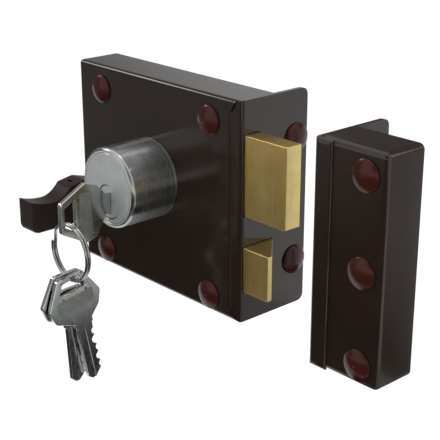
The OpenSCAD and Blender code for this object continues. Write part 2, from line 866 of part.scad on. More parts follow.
// Slot across the bow for the ring
module bow_slot(far) {
    start = far + slot_inset;
    end = start + slot_w;
    polygon([[start, -slot_far], [end, -slot_l / 2], [end, slot_l / 2], [start, slot_far]]);
}

// Notch of a given depth in the blade's top edge
module key_cut(depth) {
    wide = cut_flat + depth + cut;
    polygon([[-cut_flat, -depth], [cut_flat, -depth], [wide, cut], [-wide, cut]]);
}

// Sunk panel on the bow's face
module bow_panel() {
    far = -neck_l - bow_l;
    start = far + slot_inset + slot_w + bow_rim;
    half = bow_h / 2 - 2 * bow_rim;
    translate([start, -half]) square([panel_w, 2 * half]);
}

// Whole key with its shoulder at the origin, blade along +Y and cuts upwards
module key_body() {
    color(nickel) rotate([90, 0, 90]) difference() {
        translate([0, 0, -key_t / 2]) linear_extrude(key_t) key_outline();
        for (z = [-key_t / 2 - cut, key_t / 2 - panel_depth])
            translate([0, -bow_drop, z]) linear_extrude(panel_depth + cut) bow_panel();
        for (z = [-key_t / 2 - cut, key_t / 2 - groove_depth])
            translate([cut, -groove_h, z]) cube([blade_l, groove_h, groove_depth + cut]);
    }
}

module door_key() {
    translate([0, plug_face, 0]) key_body();
}

// Key that hangs on the ring's lowest point, leaning towards the door
module hung_key(side, lean) {
    translate([side * spare_step, ring_y, ring_low_z]) rotate([lean - 90, 0, 0])
        translate([0, -hang_x, -hang_y]) key_body();
}

module key_ring() {
    color(nickel) translate([0, ring_y, ring_z]) rotate([90, 0, 0]) rotate_extrude()
        for (z = [-turn_half, turn_half]) translate([ring_mean, z]) circle(r = wire_r);
}

module spare_key_front() {
    hung_key(1, lean_front);
}

module spare_key_rear() {
    hung_key(-1, lean_rear);
}

module keeper_plate() {
    color(enamel) difference() {
        translate([keeper_x, 0, 0])
            edge_plate(keeper_bottom, keeper_top, keeper_lip, 0, front - plate_t, keeper_roll);
        bolt_window(keeper_x - cut, keeper_in + cut, window_gap);
        latch_window(keeper_x - cut, keeper_in + cut, slide_gap);
    }
}

module keeper_cover() {
    past = 4 * keeper_r;
    color(enamel) difference() {
        intersection() {
            soft_block([keeper_in - past, front, keeper_bottom], [keeper_right, past, keeper_top], keeper_r);
            block([keeper_in, front, keeper_bottom], [keeper_right, 0, keeper_top]);
        }
        soft_block([keeper_in - past, inner_front, keeper_bottom + sheet],
            [keeper_right - sheet, past, keeper_top - sheet], keeper_inner_r);
        at_keeper_holes(front - cut) rod_y([0, 0, 0], hole_r, sheet + 2 * cut);
    }
}

module keeper_back() {
    width = keeper_right - sheet - fit_gap - keeper_in;
    color(zinc_steel) difference() {
        translate([keeper_in, 0, 0]) back_sheet(width, keeper_bottom, keeper_top, keeper_inner_r);
        at_keeper_holes(inner_back - cut) rod_y([0, 0, 0], hole_r, sheet + 2 * cut);
        for (z = keeper_pillar_z) screw_room([keeper_pillar_x, 0, z]);
    }
}

module keeper_caps() {
    color(red_plastic) at_keeper_holes(front) rotate([90, 0, 0]) cap();
}

module keeper_pillars() {
    color(zinc_steel) difference() {
        for (z = keeper_pillar_z) rod_y([keeper_pillar_x, inner_front, z], keeper_pillar_r, inner_d);
        keeper_screws();
    }
}

module keeper_screws() {
    color(zinc_steel) for (z = keeper_pillar_z) flush_screw([keeper_pillar_x, 0, z]);
}

case_cover();
face_plate();
back_plate();
case_pillars();
back_screws();
case_caps();
flange_caps();
cylinder_body();
cylinder_screws();
driver_pins();
pin_springs();
guide_post();
pinion_bearing();
spring_stop();
plug();
key_pins();
plug_clip();
tail_bar();
pinion();
deadbolt();
deadbolt_slide();
deadbolt_rivets();
latch_bolt();
latch_tail();
latch_rivets();
spring_rod();
latch_spring();
pull_handle();
pull_pin();
door_key();
key_ring();
spare_key_front();
spare_key_rear();
keeper_plate();
keeper_cover();
keeper_back();
keeper_caps();
keeper_pillars();
keeper_screws();
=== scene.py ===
"""Dresses the rim box lock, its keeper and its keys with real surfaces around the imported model."""

import logging
import math
from dataclasses import dataclass, field
from enum import Enum
from typing import Any, Callable, Iterable, Sequence

import bmesh
import bpy
from mathutils import Matrix, Vector


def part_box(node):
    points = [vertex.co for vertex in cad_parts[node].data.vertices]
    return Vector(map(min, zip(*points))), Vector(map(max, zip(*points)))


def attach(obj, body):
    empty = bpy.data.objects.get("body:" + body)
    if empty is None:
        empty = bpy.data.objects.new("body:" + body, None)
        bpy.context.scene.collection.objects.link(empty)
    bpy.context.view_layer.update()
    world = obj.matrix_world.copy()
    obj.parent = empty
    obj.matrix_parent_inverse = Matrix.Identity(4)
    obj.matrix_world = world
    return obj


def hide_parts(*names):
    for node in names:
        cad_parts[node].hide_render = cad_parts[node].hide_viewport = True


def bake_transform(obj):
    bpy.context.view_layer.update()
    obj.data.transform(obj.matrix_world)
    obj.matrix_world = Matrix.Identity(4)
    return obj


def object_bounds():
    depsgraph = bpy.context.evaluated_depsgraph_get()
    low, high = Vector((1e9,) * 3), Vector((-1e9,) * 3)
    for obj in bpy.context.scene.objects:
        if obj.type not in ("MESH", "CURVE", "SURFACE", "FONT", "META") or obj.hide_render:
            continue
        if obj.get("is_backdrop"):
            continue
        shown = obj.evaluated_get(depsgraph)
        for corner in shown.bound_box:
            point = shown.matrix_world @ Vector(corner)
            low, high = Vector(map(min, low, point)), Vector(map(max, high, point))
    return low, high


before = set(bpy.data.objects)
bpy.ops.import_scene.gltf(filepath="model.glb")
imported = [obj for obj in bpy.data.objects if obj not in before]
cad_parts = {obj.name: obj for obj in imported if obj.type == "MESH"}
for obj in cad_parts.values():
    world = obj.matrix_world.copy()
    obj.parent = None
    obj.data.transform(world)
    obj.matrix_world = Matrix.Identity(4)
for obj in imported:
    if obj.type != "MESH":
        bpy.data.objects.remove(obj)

LOG = logging.getLogger("rim_lock")
Flat = tuple[float, float]
Solid = tuple[float, float, float]
Outline = tuple[Flat, ...]
Piece = bpy.types.Object
Tree = bpy.types.NodeTree
Socket = bpy.types.NodeSocket
Choice = Callable[[bpy.types.MeshPolygon], bool]

MM = 0.001
# How far a cutter runs past what it cuts, in mm
PAST = 1.0
# Least cosine of a face that looks along an axis
FACING = 0.98
# Directions: along the bolts, towards the pull, out of the door and into it
BOLTWARDS: Solid = (1.0, 0.0, 0.0)
PULLWARDS: Solid = (-1.0, 0.0, 0.0)
OUTWARDS: Solid = (0.0, -1.0, 0.0)
INWARDS: Solid = (0.0, 1.0, 0.0)
# Octaves of a finish's clouds and of its relief, and the weight of each beside the one before
CLOUD_OCTAVES = 4.0
RELIEF_OCTAVES = 3.0
OCTAVE_WEIGHT = 0.55
# Part of the noise's range that colour and gloss are spread over
NOISE_SPAN = (0.3, 0.7)
# Height of a relief of one, in mm
RELIEF_HEIGHT = 0.1


class Body(Enum):
    """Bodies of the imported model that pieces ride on."""

    CASE = "case"
    PLUG = "plug"
    DEADBOLT = "deadbolt"
    LATCH = "latch"
    KEY = "key"
    RING = "ring"
    FRONT_SPARE = "front_spare"
    REAR_SPARE = "rear_spare"
    KEEPER = "keeper"


class Slot(Enum):
    """Material slots of the record."""

    ENAMEL = "enamel"
    CAP = "cap_red"
    PULL = "pull_brown"
    CYLINDER = "cylinder_steel"
    BOLT = "bolt_brass"
    KEY = "key_nickel"
    ZINC = "zinc_steel"
    PIN = "pin_brass"


class Plane(Enum):
    """Planes that an outline is drawn in: the axes of its width, its height and its thickness."""

    FRONT = ((1, 0, 0), (0, 0, 1), (0, 1, 0))
    SIDE = ((0, 1, 0), (0, 0, 1), (1, 0, 0))
    TOP = ((1, 0, 0), (0, 1, 0), (0, 0, 1))

    def matrix(self) -> Matrix:
        """Gives the turn from the outline's own axes to the part's axes."""
        return Matrix([list(column) for column in zip(*self.value)]).to_4x4()


class Grain(Enum):
    """Directions that a surface was ground or rolled in, as the axis that the lines run along."""

    ALONG_X = (0.02, 1.0, 1.0)
    ALONG_Z = (1.0, 1.0, 0.02)


def linear(code: str) -> tuple[float, float, float, float]:
    """Turns an sRGB hex colour to linear light.

    Args:
        code: Colour as #rrggbb.

    Returns:
        Linear red, green, blue and an alpha of one.
    """
    parts = [int(code[i : i + 2], 16) / 255 for i in (1, 3, 5)]
    light = [p / 12.92 if p <= 0.04045 else ((p + 0.055) / 1.055) ** 2.4 for p in parts]
    return light[0], light[1], light[2], 1.0


def feed(tree: Tree, node: bpy.types.Node, inputs: dict[Any, Any]) -> None:
    """Sets a node's inputs, or links them where an output socket is given.

    Args:
        tree: The node's tree.
        node: Node to feed.
        inputs: Values or output sockets by input name or number.
    """
    for key, value in inputs.items():
        if isinstance(value, Socket):
            tree.links.new(value, node.inputs[key])
        else:
            node.inputs[key].default_value = value


def add_node(
    tree: Tree, kind: str, inputs: dict[Any, Any] | None = None, **settings: Any
) -> bpy.types.Node:
    """Adds a shader node with its settings and links.

    Args:
        tree: Node tree to add to.
        kind: Blender's name of the node type, without its prefix.
        inputs: Values or output sockets by input name or number.
        settings: Attributes of the node.

    Returns:
        The new node.
    """
    made = tree.nodes.new(f"ShaderNode{kind}")
    for name, value in settings.items():
        setattr(made, name, value)
    feed(tree, made, inputs or {})
    return made


def new_paint(name: str) -> bpy.types.Material:
    """Makes a material with Blender's plain nodes.

    Args:
        name: Name of the material.

    Returns:
        The material.
    """
    made = bpy.data.materials.new(name)
    made.use_nodes = True
    return made


@dataclass(frozen=True)
class Finish:
    """Surface of one real material: a base with cloudy variation, fine relief and a varying gloss.

    Attributes:
        name: Common name of the material and how it was made.
        slot: The record's slot that it belongs to. Nothing reads it.
        colour: Main colour.
        shade: Colour of its darker clouds.
        rough: Least and greatest roughness.
        cloud_mm: Size of the cloudy variation.
        relief_mm: Size of the fine relief.
        relief: Height of the fine relief, as bump strength.
        metallic: One for a bare metal.
        stretch: How the relief is drawn out along an axis.
    """

    name: str
    slot: Slot
    colour: str
    shade: str
    rough: Flat
    cloud_mm: float
    relief_mm: float
    relief: float
    metallic: float = 0.0
    stretch: Solid = (1.0, 1.0, 1.0)

    def relief_place(self, tree: Tree, place: Socket) -> Socket:
        """Gives the coordinates of the fine relief, drawn out along the finish's stretch."""
        return add_node(tree, "VectorMath", {0: place, 1: self.stretch}, operation="MULTIPLY").outputs[0]

    def extra(self, tree: Tree) -> dict[str, Any]:
        """Gives the shader's inputs that only this kind of material has."""
        return {}

    def material(self) -> bpy.types.Material:
        """Builds the material once and gives it again when it is asked for.

        Returns:
            The material.
        """
        known = bpy.data.materials.get(self.name)
        if known is not None:
            return known
        made = new_paint(self.name)
        tree = made.node_tree
        place = add_node(tree, "TexCoord").outputs["Object"]
        layers = (
            (place, self.cloud_mm, CLOUD_OCTAVES),
            (self.relief_place(tree, place), self.relief_mm, RELIEF_OCTAVES),
        )
        cloud, relief = (
            add_node(
                tree,
                "TexNoise",
                {"Vector": at, "Scale": 1 / (size * MM), "Detail": octaves, "Roughness": OCTAVE_WEIGHT},
            ).outputs["Fac"]
            for at, size, octaves in layers
        )
        tint = add_node(tree, "ValToRGB", {"Fac": cloud})
        for stop, level, code in zip(tint.color_ramp.elements, NOISE_SPAN, (self.shade, self.colour)):
            stop.position = level
            stop.color = linear(code)
        ends = dict(enumerate((*NOISE_SPAN, *self.rough), start=1))
        gloss = add_node(tree, "MapRange", {"Value": relief, **ends})
        height = {"Height": relief, "Strength": self.relief, "Distance": RELIEF_HEIGHT * MM}
        bump = add_node(tree, "Bump", height)
        inputs = {
            "Base Color": tint.outputs["Color"],
            "Roughness": gloss.outputs["Result"],
            "Normal": bump.outputs["Normal"],
            "Metallic": self.metallic,
        }
        feed(tree, tree.nodes["Principled BSDF"], inputs | self.extra(tree))
        return made


@dataclass(frozen=True)
class ClearSurface(Finish):
    """Enamel or plastic: a clear skin over its colour, which mirrors a small share of the light.

    Attributes:
        ior: Refraction of the skin.
        sheen: Share of the clear reflection, half for a plain smooth skin.
    """

    ior: float = 1.49
    sheen: float = 0.5

    def extra(self, tree: Tree) -> dict[str, Any]:
        """Gives the skin's refraction and sheen."""
        return {"IOR": self.ior, "Specular IOR Level": self.sheen}


@dataclass(frozen=True)
class BareMetal(Finish):
    """Bare or plated metal, which mirrors all light in its own colour."""

    metallic: float = 1.0


@dataclass(frozen=True)
class TurnedSteel(BareMetal):
    """Satin steel turned on a lathe: fine rings round the axis, which spread a highlight along it.

    Attributes:
        centre: Place of the axis across X and Z, in mm.
        spread: How much further the highlight runs along the axis than round it.
        quarter: Turn of the highlight from round the axis to along it, in whole turns.
    """

    centre: Flat = (0.0, 6.6)
    spread: float = 0.85
    quarter: float = 0.25

    def relief_place(self, tree: Tree, place: Socket) -> Socket:
        """Gives each point's radius and depth on the axis, so that the relief lies in rings.

        Args:
            tree: Node tree to add to.
            place: The part's own coordinates, in metres.

        Returns:
            Socket of the coordinates.
        """
        axis = (self.centre[0] * MM, 0.0, self.centre[1] * MM)
        moved = add_node(tree, "VectorMath", {0: place, 1: axis}, operation="SUBTRACT").outputs[0]
        flat = add_node(tree, "VectorMath", {0: moved, 1: (1.0, 0.0, 1.0)}, operation="MULTIPLY")
        radius = add_node(tree, "VectorMath", {0: flat.outputs[0]}, operation="LENGTH")
        depth = add_node(tree, "SeparateXYZ", {0: moved}).outputs[1]
        return add_node(tree, "CombineXYZ", {0: radius.outputs["Value"], 1: depth}).outputs[0]

    def extra(self, tree: Tree) -> dict[str, Any]:
        """Draws highlights out along the axis, across the tool's rings."""
        turn = add_node(tree, "Tangent", direction_type="RADIAL", axis="Y").outputs["Tangent"]
        return {"Tangent": turn, "Anisotropic": self.spread, "Anisotropic Rotation": self.quarter}


# Baked enamel: dark brown, glossy, so that the studio shows in every flat face
ENAMEL = ClearSurface(
    "baked_enamel_on_pressed_steel", Slot.ENAMEL, "#221812", "#1D140F", (0.12, 0.17),
    cloud_mm=40.0, relief_mm=1.6, relief=0.02, ior=1.5,
)
# Gloss plastic caps: deep red, with a tight highlight on each dome
CAP_PLASTIC = ClearSurface(
    "gloss_moulded_cap_plastic", Slot.CAP, "#35120D", "#2D0E0A", (0.18, 0.26),
    cloud_mm=7.0, relief_mm=0.8, relief=0.04, sheen=0.25,
)
# Spark-eroded mould grain on the pull: dull, with a fine pebble that breaks the light
PULL_PLASTIC = ClearSurface(
    "grained_moulded_pull_plastic", Slot.PULL, "#251713", "#1F130F", (0.44, 0.58),
    cloud_mm=15.0, relief_mm=0.5, relief=0.25, sheen=0.25,
)
# Turned satin steel: the tool's rings are too fine for the picture and are drawn 0.8 mm apart
CYLINDER_STEEL = TurnedSteel(
    "satin_turned_steel", Slot.CYLINDER, "#B4B7B5", "#A6A9A7", (0.24, 0.29),
    cloud_mm=14.0, relief_mm=0.8, relief=0.01,
)
# Ground steel face: the stone runs straight across it, so faint upright lines spread the light; its colour
# is painted far paler than the turned side's, painted light on the faces that look out
LIT_GROUND_STEEL = BareMetal(
    "ground_satin_steel_painted_lit", Slot.CYLINDER, "#E6E9E7", "#DCDFDD", (0.56, 0.68),
    cloud_mm=8.0, relief_mm=0.7, relief=0.06, stretch=Grain.ALONG_Z.value,
)
# Drawn brass bar, ground along its height: long faint lines and a warm, uneven tone
BOLT_BRASS = BareMetal(
    "ground_drawn_brass", Slot.BOLT, "#EFCF86", "#DEBC70", (0.3, 0.37),
    cloud_mm=11.0, relief_mm=0.9, relief=0.04, stretch=Grain.ALONG_Z.value,
)
# Sawn and milled brass end with the cutter's upright lines: raw cut metal, also painted paler than the
# drawn faces as a painted highlight
LIT_MILLED_BRASS = BareMetal(
    "milled_brass_end_painted_lit", Slot.BOLT, "#F2DE9C", "#E6CE8A", (0.34, 0.42),
    cloud_mm=6.0, relief_mm=0.8, relief=0.06, stretch=Grain.ALONG_Z.value,
)
# Nickel plate over stamped brass: cold and bright, softened by tumbling
KEY_NICKEL = BareMetal(
    "tumbled_nickel_plate", Slot.KEY, "#CFD1CE", "#C2C5C1", (0.12, 0.18),
    cloud_mm=9.0, relief_mm=1.2, relief=0.02,
)
# The same plate on the keys' flat sides, which the stamping die leaves finely matt
FACE_NICKEL = BareMetal(
    "stamped_nickel_plate", Slot.KEY, "#C6C9C6", "#B6B9B6", (0.17, 0.22),
    cloud_mm=9.0, relief_mm=3.0, relief=0.03,
)
# Stamped panel of the bow: a coarser die, so it is duller and darker than the face round it
PANEL_NICKEL = BareMetal(
    "coined_nickel_panel", Slot.KEY, "#A6A9A6", "#949794", (0.42, 0.52),
    cloud_mm=4.0, relief_mm=0.8, relief=0.08,
)
# Drawn spring wire of the ring, nickel plated: smooth along the wire
RING_NICKEL = BareMetal(
    "plated_spring_wire", Slot.KEY, "#B8BAB7", "#9A9D99", (0.16, 0.26),
    cloud_mm=4.0, relief_mm=0.5, relief=0.05,
)
# Zinc-plated sheet steel: grey with cloudy passivation and rolling lines
ZINC_STEEL = BareMetal(
    "zinc_plated_sheet_steel", Slot.ZINC, "#A3A6A8", "#868A8C", (0.3, 0.46),
    cloud_mm=14.0, relief_mm=0.6, relief=0.08, stretch=Grain.ALONG_X.value,
)
# Turned pin brass: small bright parts inside the cylinder
PIN_BRASS = BareMetal(
    "turned_pin_brass", Slot.PIN, "#CDAE62", "#B3934B", (0.22, 0.36),
    cloud_mm=3.0, relief_mm=0.3, relief=0.08,
)


def ease(t: float) -> float:
    """Gives a smooth course from zero to one."""
    return 3 * t**2 - 2 * t**3


def arc(centre: Flat, radius: float, start: float, end: float, steps: int = 8) -> list[Flat]:
    """Gives the points of an arc between two angles in degrees, both ends included."""
    turns = [math.radians(start + (end - start) * i / steps) for i in range(steps + 1)]
    return [(centre[0] + radius * math.cos(t), centre[1] + radius * math.sin(t)) for t in turns]


def rounded(corners: Sequence[Flat], radii: Sequence[float], steps: int = 6) -> list[Flat]:
    """Rounds the corners of a closed outline.

    Args:
        corners: Corners in order.
        radii: Radius of each corner.
        steps: Chords on each corner.

    Returns:
        Points of the rounded outline.
    """
    # Greatest share of an edge that one of its corners takes
    most = 0.49
    points: list[Flat] = []
    for i, (corner, radius) in enumerate(zip(corners, radii)):
        if radius <= 0:
            points.append(corner)
            continue
        here = Vector(corner)
        back = Vector(corners[i - 1]) - here
        ahead = Vector(corners[(i + 1) % len(corners)]) - here
        half = back.angle(ahead) / 2
        reach = min(radius / math.tan(half), most * back.length, most * ahead.length)
        first = here + back.normalized() * reach
        last = here + ahead.normalized() * reach
        for k in range(steps + 1):
            t = k / steps
            bent = first * (1 - t) ** 2 + here * 2 * t * (1 - t) + last * t**2
            points.append((bent.x, bent.y))
    return points


def rectangle(low: Flat, high: Flat) -> list[Flat]:
    """Gives the four corners of a rectangle."""
    return [low, (high[0], low[1]), high, (low[0], high[1])]


def placed(name: str, data: bpy.types.ID) -> Piece:
    """Puts a new object in the scene.

    Args:
        name: Name of the object.
        data: Its mesh, curve, lamp or camera.

    Returns:
        The object.
    """
    made = bpy.data.objects.new(name, data)
    bpy.context.scene.collection.objects.link(made)
    return made


def aimed(piece: Piece, way: Vector) -> None:
    """Turns a camera or a lamp to look along a direction."""
    piece.rotation_mode = "QUATERNION"
    piece.rotation_quaternion = way.to_track_quat("-Z", "Y")


def from_mesh(name: str, mesh: bmesh.types.BMesh) -> Piece:
    """Turns a mesh in metres to an object.

    Args:
        name: Name of the object.
        mesh: Mesh, which is freed.

    Returns:
        The object.
    """
    data = bpy.data.meshes.new(name)
    mesh.to_mesh(data)
    mesh.free()
    return placed(name, data)


def to_object(name: str, mesh: bmesh.types.BMesh) -> Piece:
    """Turns a mesh in millimetres to an object in metres.

    Args:
        name: Name of the object.
        mesh: Mesh, which is freed.

    Returns:
        The object, linked to the scene.
    """
    bmesh.ops.remove_doubles(mesh, verts=mesh.verts, dist=1e-4)
    bmesh.ops.recalc_face_normals(mesh, faces=mesh.faces)
    bmesh.ops.scale(mesh, vec=(MM, MM, MM), verts=mesh.verts)
    return from_mesh(name, mesh)


def curve_mesh(paths: Iterable[Sequence[Solid]], closed: bool, **settings: Any) -> bmesh.types.BMesh:
    """Makes the mesh of a curve with straight chords.

    Args:
        paths: Points of each path in mm.
        closed: Whether the ends of a path meet.
        settings: Attributes of the curve.

    Returns:
        The mesh, in mm.
    """
    curve = bpy.data.curves.new("path", "CURVE")
    for name, value in settings.items():
        setattr(curve, name, value)
    for path in paths:
        spline = curve.splines.new("POLY")
        spline.points.add(len(path) - 1)
        for point, place in zip(spline.points, path):
            point.co = (*place, 1.0)
        spline.use_cyclic_u = closed
    holder = placed("path", curve)
    graph = bpy.context.evaluated_depsgraph_get()
    skin = bpy.data.meshes.new_from_object(holder.evaluated_get(graph))
    mesh = bmesh.new()
    mesh.from_mesh(skin)
    bpy.data.objects.remove(holder)
    bpy.data.curves.remove(curve)
    bpy.data.meshes.remove(skin)
    return mesh


def slab(
    name: str, loops: Iterable[Sequence[Flat]], low: float, high: float, plane: Plane, soft: float = 0.0
) -> Piece:
    """Makes a slab from an outline and its holes, with rolled edges.

    Args:
        name: Name of the object.
        loops: Outline and holes, in mm.
        low: Where the slab starts along its thickness.
        high: Where it ends.
        plane: Plane of the outline.
        soft: Radius of the rolled edges.

    Returns:
        The slab.
    """
    mesh = curve_mesh(
        [[(u, v, 0.0) for u, v in loop] for loop in loops], True, dimensions="2D", fill_mode="BOTH",
        extrude=(high - low) / 2 - soft, bevel_depth=soft, bevel_resolution=2, offset=-soft,
    )
    turn = plane.matrix() @ Matrix.Translation((0.0, 0.0, (low + high) / 2))
    bmesh.ops.transform(mesh, matrix=turn, verts=mesh.verts)
    return to_object(name, mesh)


def tube(name: str, path: Sequence[Solid], radius: float) -> Piece:
    """Runs a round wire with closed ends along a path in mm."""
    wire = {"bevel_depth": radius, "bevel_resolution": 4, "use_fill_caps": True}
    return to_object(name, curve_mesh([path], False, dimensions="3D", **wire))


def cube(low: Sequence[float], high: Sequence[float]) -> bmesh.types.BMesh:
    """Makes the mesh of a sharp block.

    Args:
        low: Lowest corner in mm.
        high: Highest corner in mm.

    Returns:
        The mesh.
    """
    mesh = bmesh.new()
    bmesh.ops.create_cube(mesh, size=1.0)
    for vert in mesh.verts:
        vert.co = Vector(high[k] if vert.co[k] > 0 else low[k] for k in range(3))
    return mesh


def roll_edges(mesh: bmesh.types.BMesh, edges: Sequence[Any], radius: float, steps: int) -> None:
    """Rounds some edges of a mesh."""
    bmesh.ops.bevel(mesh, geom=edges, offset=radius, segments=steps, profile=0.5, affect="EDGES")


def block(
    name: str, low: Sequence[float], high: Sequence[float], soft: float = 0.0, steps: int = 3
) -> Piece:
    """Makes a block with rounded edges.

    Args:
        name: Name of the object.
        low: Lowest corner in mm.
        high: Highest corner in mm.
        soft: Radius of the edges.
        steps: Chords across an edge.

    Returns:
        The block.
    """
    mesh = cube(low, high)
    if soft > 0:
        roll_edges(mesh, mesh.edges[:], soft, steps)
    return to_object(name, mesh)


def lathe(name: str, profile: Sequence[Flat], centre: Solid, axis: Solid, steps: int = 96) -> Piece:
    """Spins a profile round an axis.

    Args:
        name: Name of the object.
        profile: Radius and height of each point in mm, from the axis out and back to it.
        centre: Place of height zero.
        axis: Direction of height.
        steps: Number of sides.

    Returns:
        The turned piece.
    """
    mesh = bmesh.new()
    turns = [2 * math.pi * i / steps for i in range(steps)]
    rings = [
        [mesh.verts.new((r * math.cos(a), r * math.sin(a), h)) for a in (turns if r > 0 else turns[:1])]
        for r, h in profile
    ]
    for pair in zip(rings, rings[1:]):
        for i in range(steps):
            first, second = ((ring[i % len(ring)], ring[(i + 1) % len(ring)]) for ring in pair)
            mesh.faces.new(list(dict.fromkeys((*first, *reversed(second)))))
    turn = Vector((0, 0, 1)).rotation_difference(Vector(axis)).to_matrix().to_4x4()
    bmesh.ops.transform(mesh, matrix=Matrix.Translation(centre) @ turn, verts=mesh.verts)
    return to_object(name, mesh)


def bake(piece: Piece) -> None:
    """Turns a piece's modifiers to plain mesh.

    Args:
        piece: Piece to change.
    """
    graph = bpy.context.evaluated_depsgraph_get()
    data = bpy.data.meshes.new_from_object(piece.evaluated_get(graph))
    piece.modifiers.clear()
    old = piece.data
    piece.data = data
    bpy.data.meshes.remove(old)


def changed(piece: Piece, kind: str, **settings: Any) -> Piece:
    """Changes a piece's mesh by one modifier.

    Args:
        piece: Piece to change.
        kind: Blender's name of the modifier type.
        settings: Attributes of the modifier.

    Returns:
        The piece.
    """
    change = piece.modifiers.new(kind.lower(), kind)
    for name, value in settings.items():
        setattr(change, name, value)
    bake(piece)
    return piece


def carve(piece: Piece, *tools: Piece, operation: str = "DIFFERENCE") -> None:
    """Cuts tools out of a piece, or keeps what they share with it, and removes them.

    Args:
        piece: Piece to cut.
        tools: Closed shapes.
        operation: Blender's name of the cut.
    """
    for tool in tools:
        changed(piece, "BOOLEAN", operation=operation, solver="EXACT", object=tool)
        bpy.data.objects.remove(tool)


def soften(piece: Piece, width: float) -> Piece:
    """Breaks a piece's sharp edges by a width in mm."""
    sharp = {"limit_method": "ANGLE", "angle_limit": math.radians(35)}
    return changed(piece, "BEVEL", width=width * MM, segments=2, use_clamp_overlap=True, **sharp)


def join(name: str, pieces: Sequence[Piece]) -> Piece:
    """Joins pieces to one object.

    Args:
        name: Name of the joined object.
        pieces: Objects, which are removed.

    Returns:
        The joined object.
    """
    mesh = bmesh.new()
    for piece in pieces:
        piece.data.transform(piece.matrix_world)
        mesh.from_mesh(piece.data)
        bpy.data.objects.remove(piece)
    return from_mesh(name, mesh)


def dress(piece: Piece, finish: Finish, smooth: float, nodes: Sequence[str]) -> None:
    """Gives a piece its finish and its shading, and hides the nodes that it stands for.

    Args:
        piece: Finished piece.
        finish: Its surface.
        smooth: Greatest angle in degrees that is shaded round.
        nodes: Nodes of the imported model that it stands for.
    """
    data = piece.data
    data.materials.clear()
    data.materials.append(finish.material())
    data.shade_smooth()
    data.set_sharp_from_angle(angle=math.radians(smooth))
    changed(piece, "WEIGHTED_NORMAL", keep_sharp=True)
    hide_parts(*nodes)


def settle(piece: Piece, finish: Finish, body: Body, nodes: Sequence[str], smooth: float = 40.0) -> None:
    """Dresses a piece and puts it on its body.

    Args:
        piece: Finished piece.
        finish: Its surface.
        body: Body that carries it.
        nodes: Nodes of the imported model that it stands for.
        smooth: Greatest angle in degrees that is shaded round.
    """
    dress(piece, finish, smooth, nodes)
    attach(piece, body.value)
    LOG.info("%s: %d faces on %s", piece.name, len(piece.data.polygons), body.value)


def repaint(piece: Piece, finish: Finish, chosen: Choice) -> None:
    """Gives some faces of a settled piece a finish of their own.

    Args:
        piece: Settled piece.
        finish: Surface of those faces.
        chosen: Tells whether a face is one of them.
    """
    piece.data.materials.append(finish.material())
    last = len(piece.data.materials) - 1
    for face in piece.data.polygons:
        if chosen(face):
            face.material_index = last


def facing(*axes: Solid) -> Choice:
    """Chooses the faces that look along one of some axes."""
    return lambda face: any(face.normal.dot(Vector(axis)) > FACING for axis in axes)


def box_mm(node: str) -> tuple[Vector, Vector]:
    """Gives a node's lowest and highest corner in millimetres."""
    low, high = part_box(node)
    return low / MM, high / MM


@dataclass
class ScrewCap:
    """Domed plastic cap over a screw, with a small mark of the mould's gate on its crown.

    Attributes:
        radius: Radius of the rim.
        height: Height of the crown.
        rim: Height of the straight rim.
        edge: Points of the rolled rim: radius beyond the cap's own, and height.
        gate: Points of the gate's mark: radius, and height above the crown.
    """

    radius: float = 6.9
    height: float = 2.6
    rim: float = 0.8
    edge: Outline = ((-0.1, 0.0), (0.0, 0.12), (0.0, 0.55), (-0.06, 0.75), (-0.22, 0.86))
    gate: Outline = ((0.62, -0.02), (0.5, -0.12), (0.0, -0.14))

    def build(self, name: str, centre: Solid, axis: Solid) -> Piece:
        """Makes one cap.

        Args:
            name: Name of the object.
            centre: Middle of the cap's seat in mm.
            axis: Direction that the dome faces.

        Returns:
            The cap.
        """
        rise = self.height - self.rim
        crown = (self.radius**2 + rise**2) / (2 * rise)
        edge = [(self.radius + r, h) for r, h in self.edge]
        rings = 14
        radii = [self.radius * k / rings for k in range(rings - 1, 1, -1)]
        dome = [(r, self.height - crown + math.sqrt(crown**2 - r**2)) for r in radii]
        gate = [(r, self.height + h) for r, h in self.gate]
        return lathe(name, [(0.0, 0.0), *edge, *dome, *gate], centre, axis, steps=72)

    def row(self, name: str, centres: Sequence[Solid], axis: Solid, body: Body, node: str) -> None:
        """Makes a row of caps that stands for one node."""
        caps = [self.build(f"{name}_{i}", centre, axis) for i, centre in enumerate(centres)]
        settle(join(name, caps), CAP_PLASTIC, body, [node])


@dataclass
class ClosingScrew:
    """Countersunk screw with a cross recess, flush with the closing plate.

    Attributes:
        radius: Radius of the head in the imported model.
        profile: Radius and height of each point of the screw.
        cross: Length and width of the recess's arms.
        depth: Depth of the recess.
        soft: Bevel of the recess's edges.
    """

    radius: float = 3.0
    profile: Outline = (
        (0.0, -0.02), (2.7, -0.02), (2.96, -0.12), (1.6, -1.25), (1.6, -8.0), (0.0, -8.0)
    )
    cross: Flat = (3.4, 0.7)
    depth: float = 0.9
    soft: float = 0.1

    def build(self, name: str, x: float, z: float) -> Piece:
        """Makes one screw.

        Args:
            name: Name of the object.
            x: Place of its axis along X in mm.
            z: Place of its axis along Z.

        Returns:
            The screw.
        """
        made = lathe(name, self.profile, (x, 0.0, z), INWARDS, steps=40)
        for wide, tall in (self.cross, self.cross[::-1]):
            low = (x - wide / 2, -self.depth, z - tall / 2)
            high = (x + wide / 2, PAST, z + tall / 2)
            carve(made, block("recess", low, high, self.soft, steps=1))
        return made

    def row(self, name: str, node: str, body: Body) -> None:
        """Makes the screws that stand for one node, at the corners of its box.

        Args:
            name: Name of the screws.
            node: Node that they stand for.
            body: Body that carries them.
        """
        low, high = box_mm(node)
        columns = sorted({round(low.x + self.radius, 3), round(high.x - self.radius, 3)})
        places = [(x, z) for x in columns for z in (low.z + self.radius, high.z - self.radius)]
        made = [self.build(f"{name}_{i}", x, z) for i, (x, z) in enumerate(places)]
        settle(join(name, made), ZINC_STEEL, body, [node])


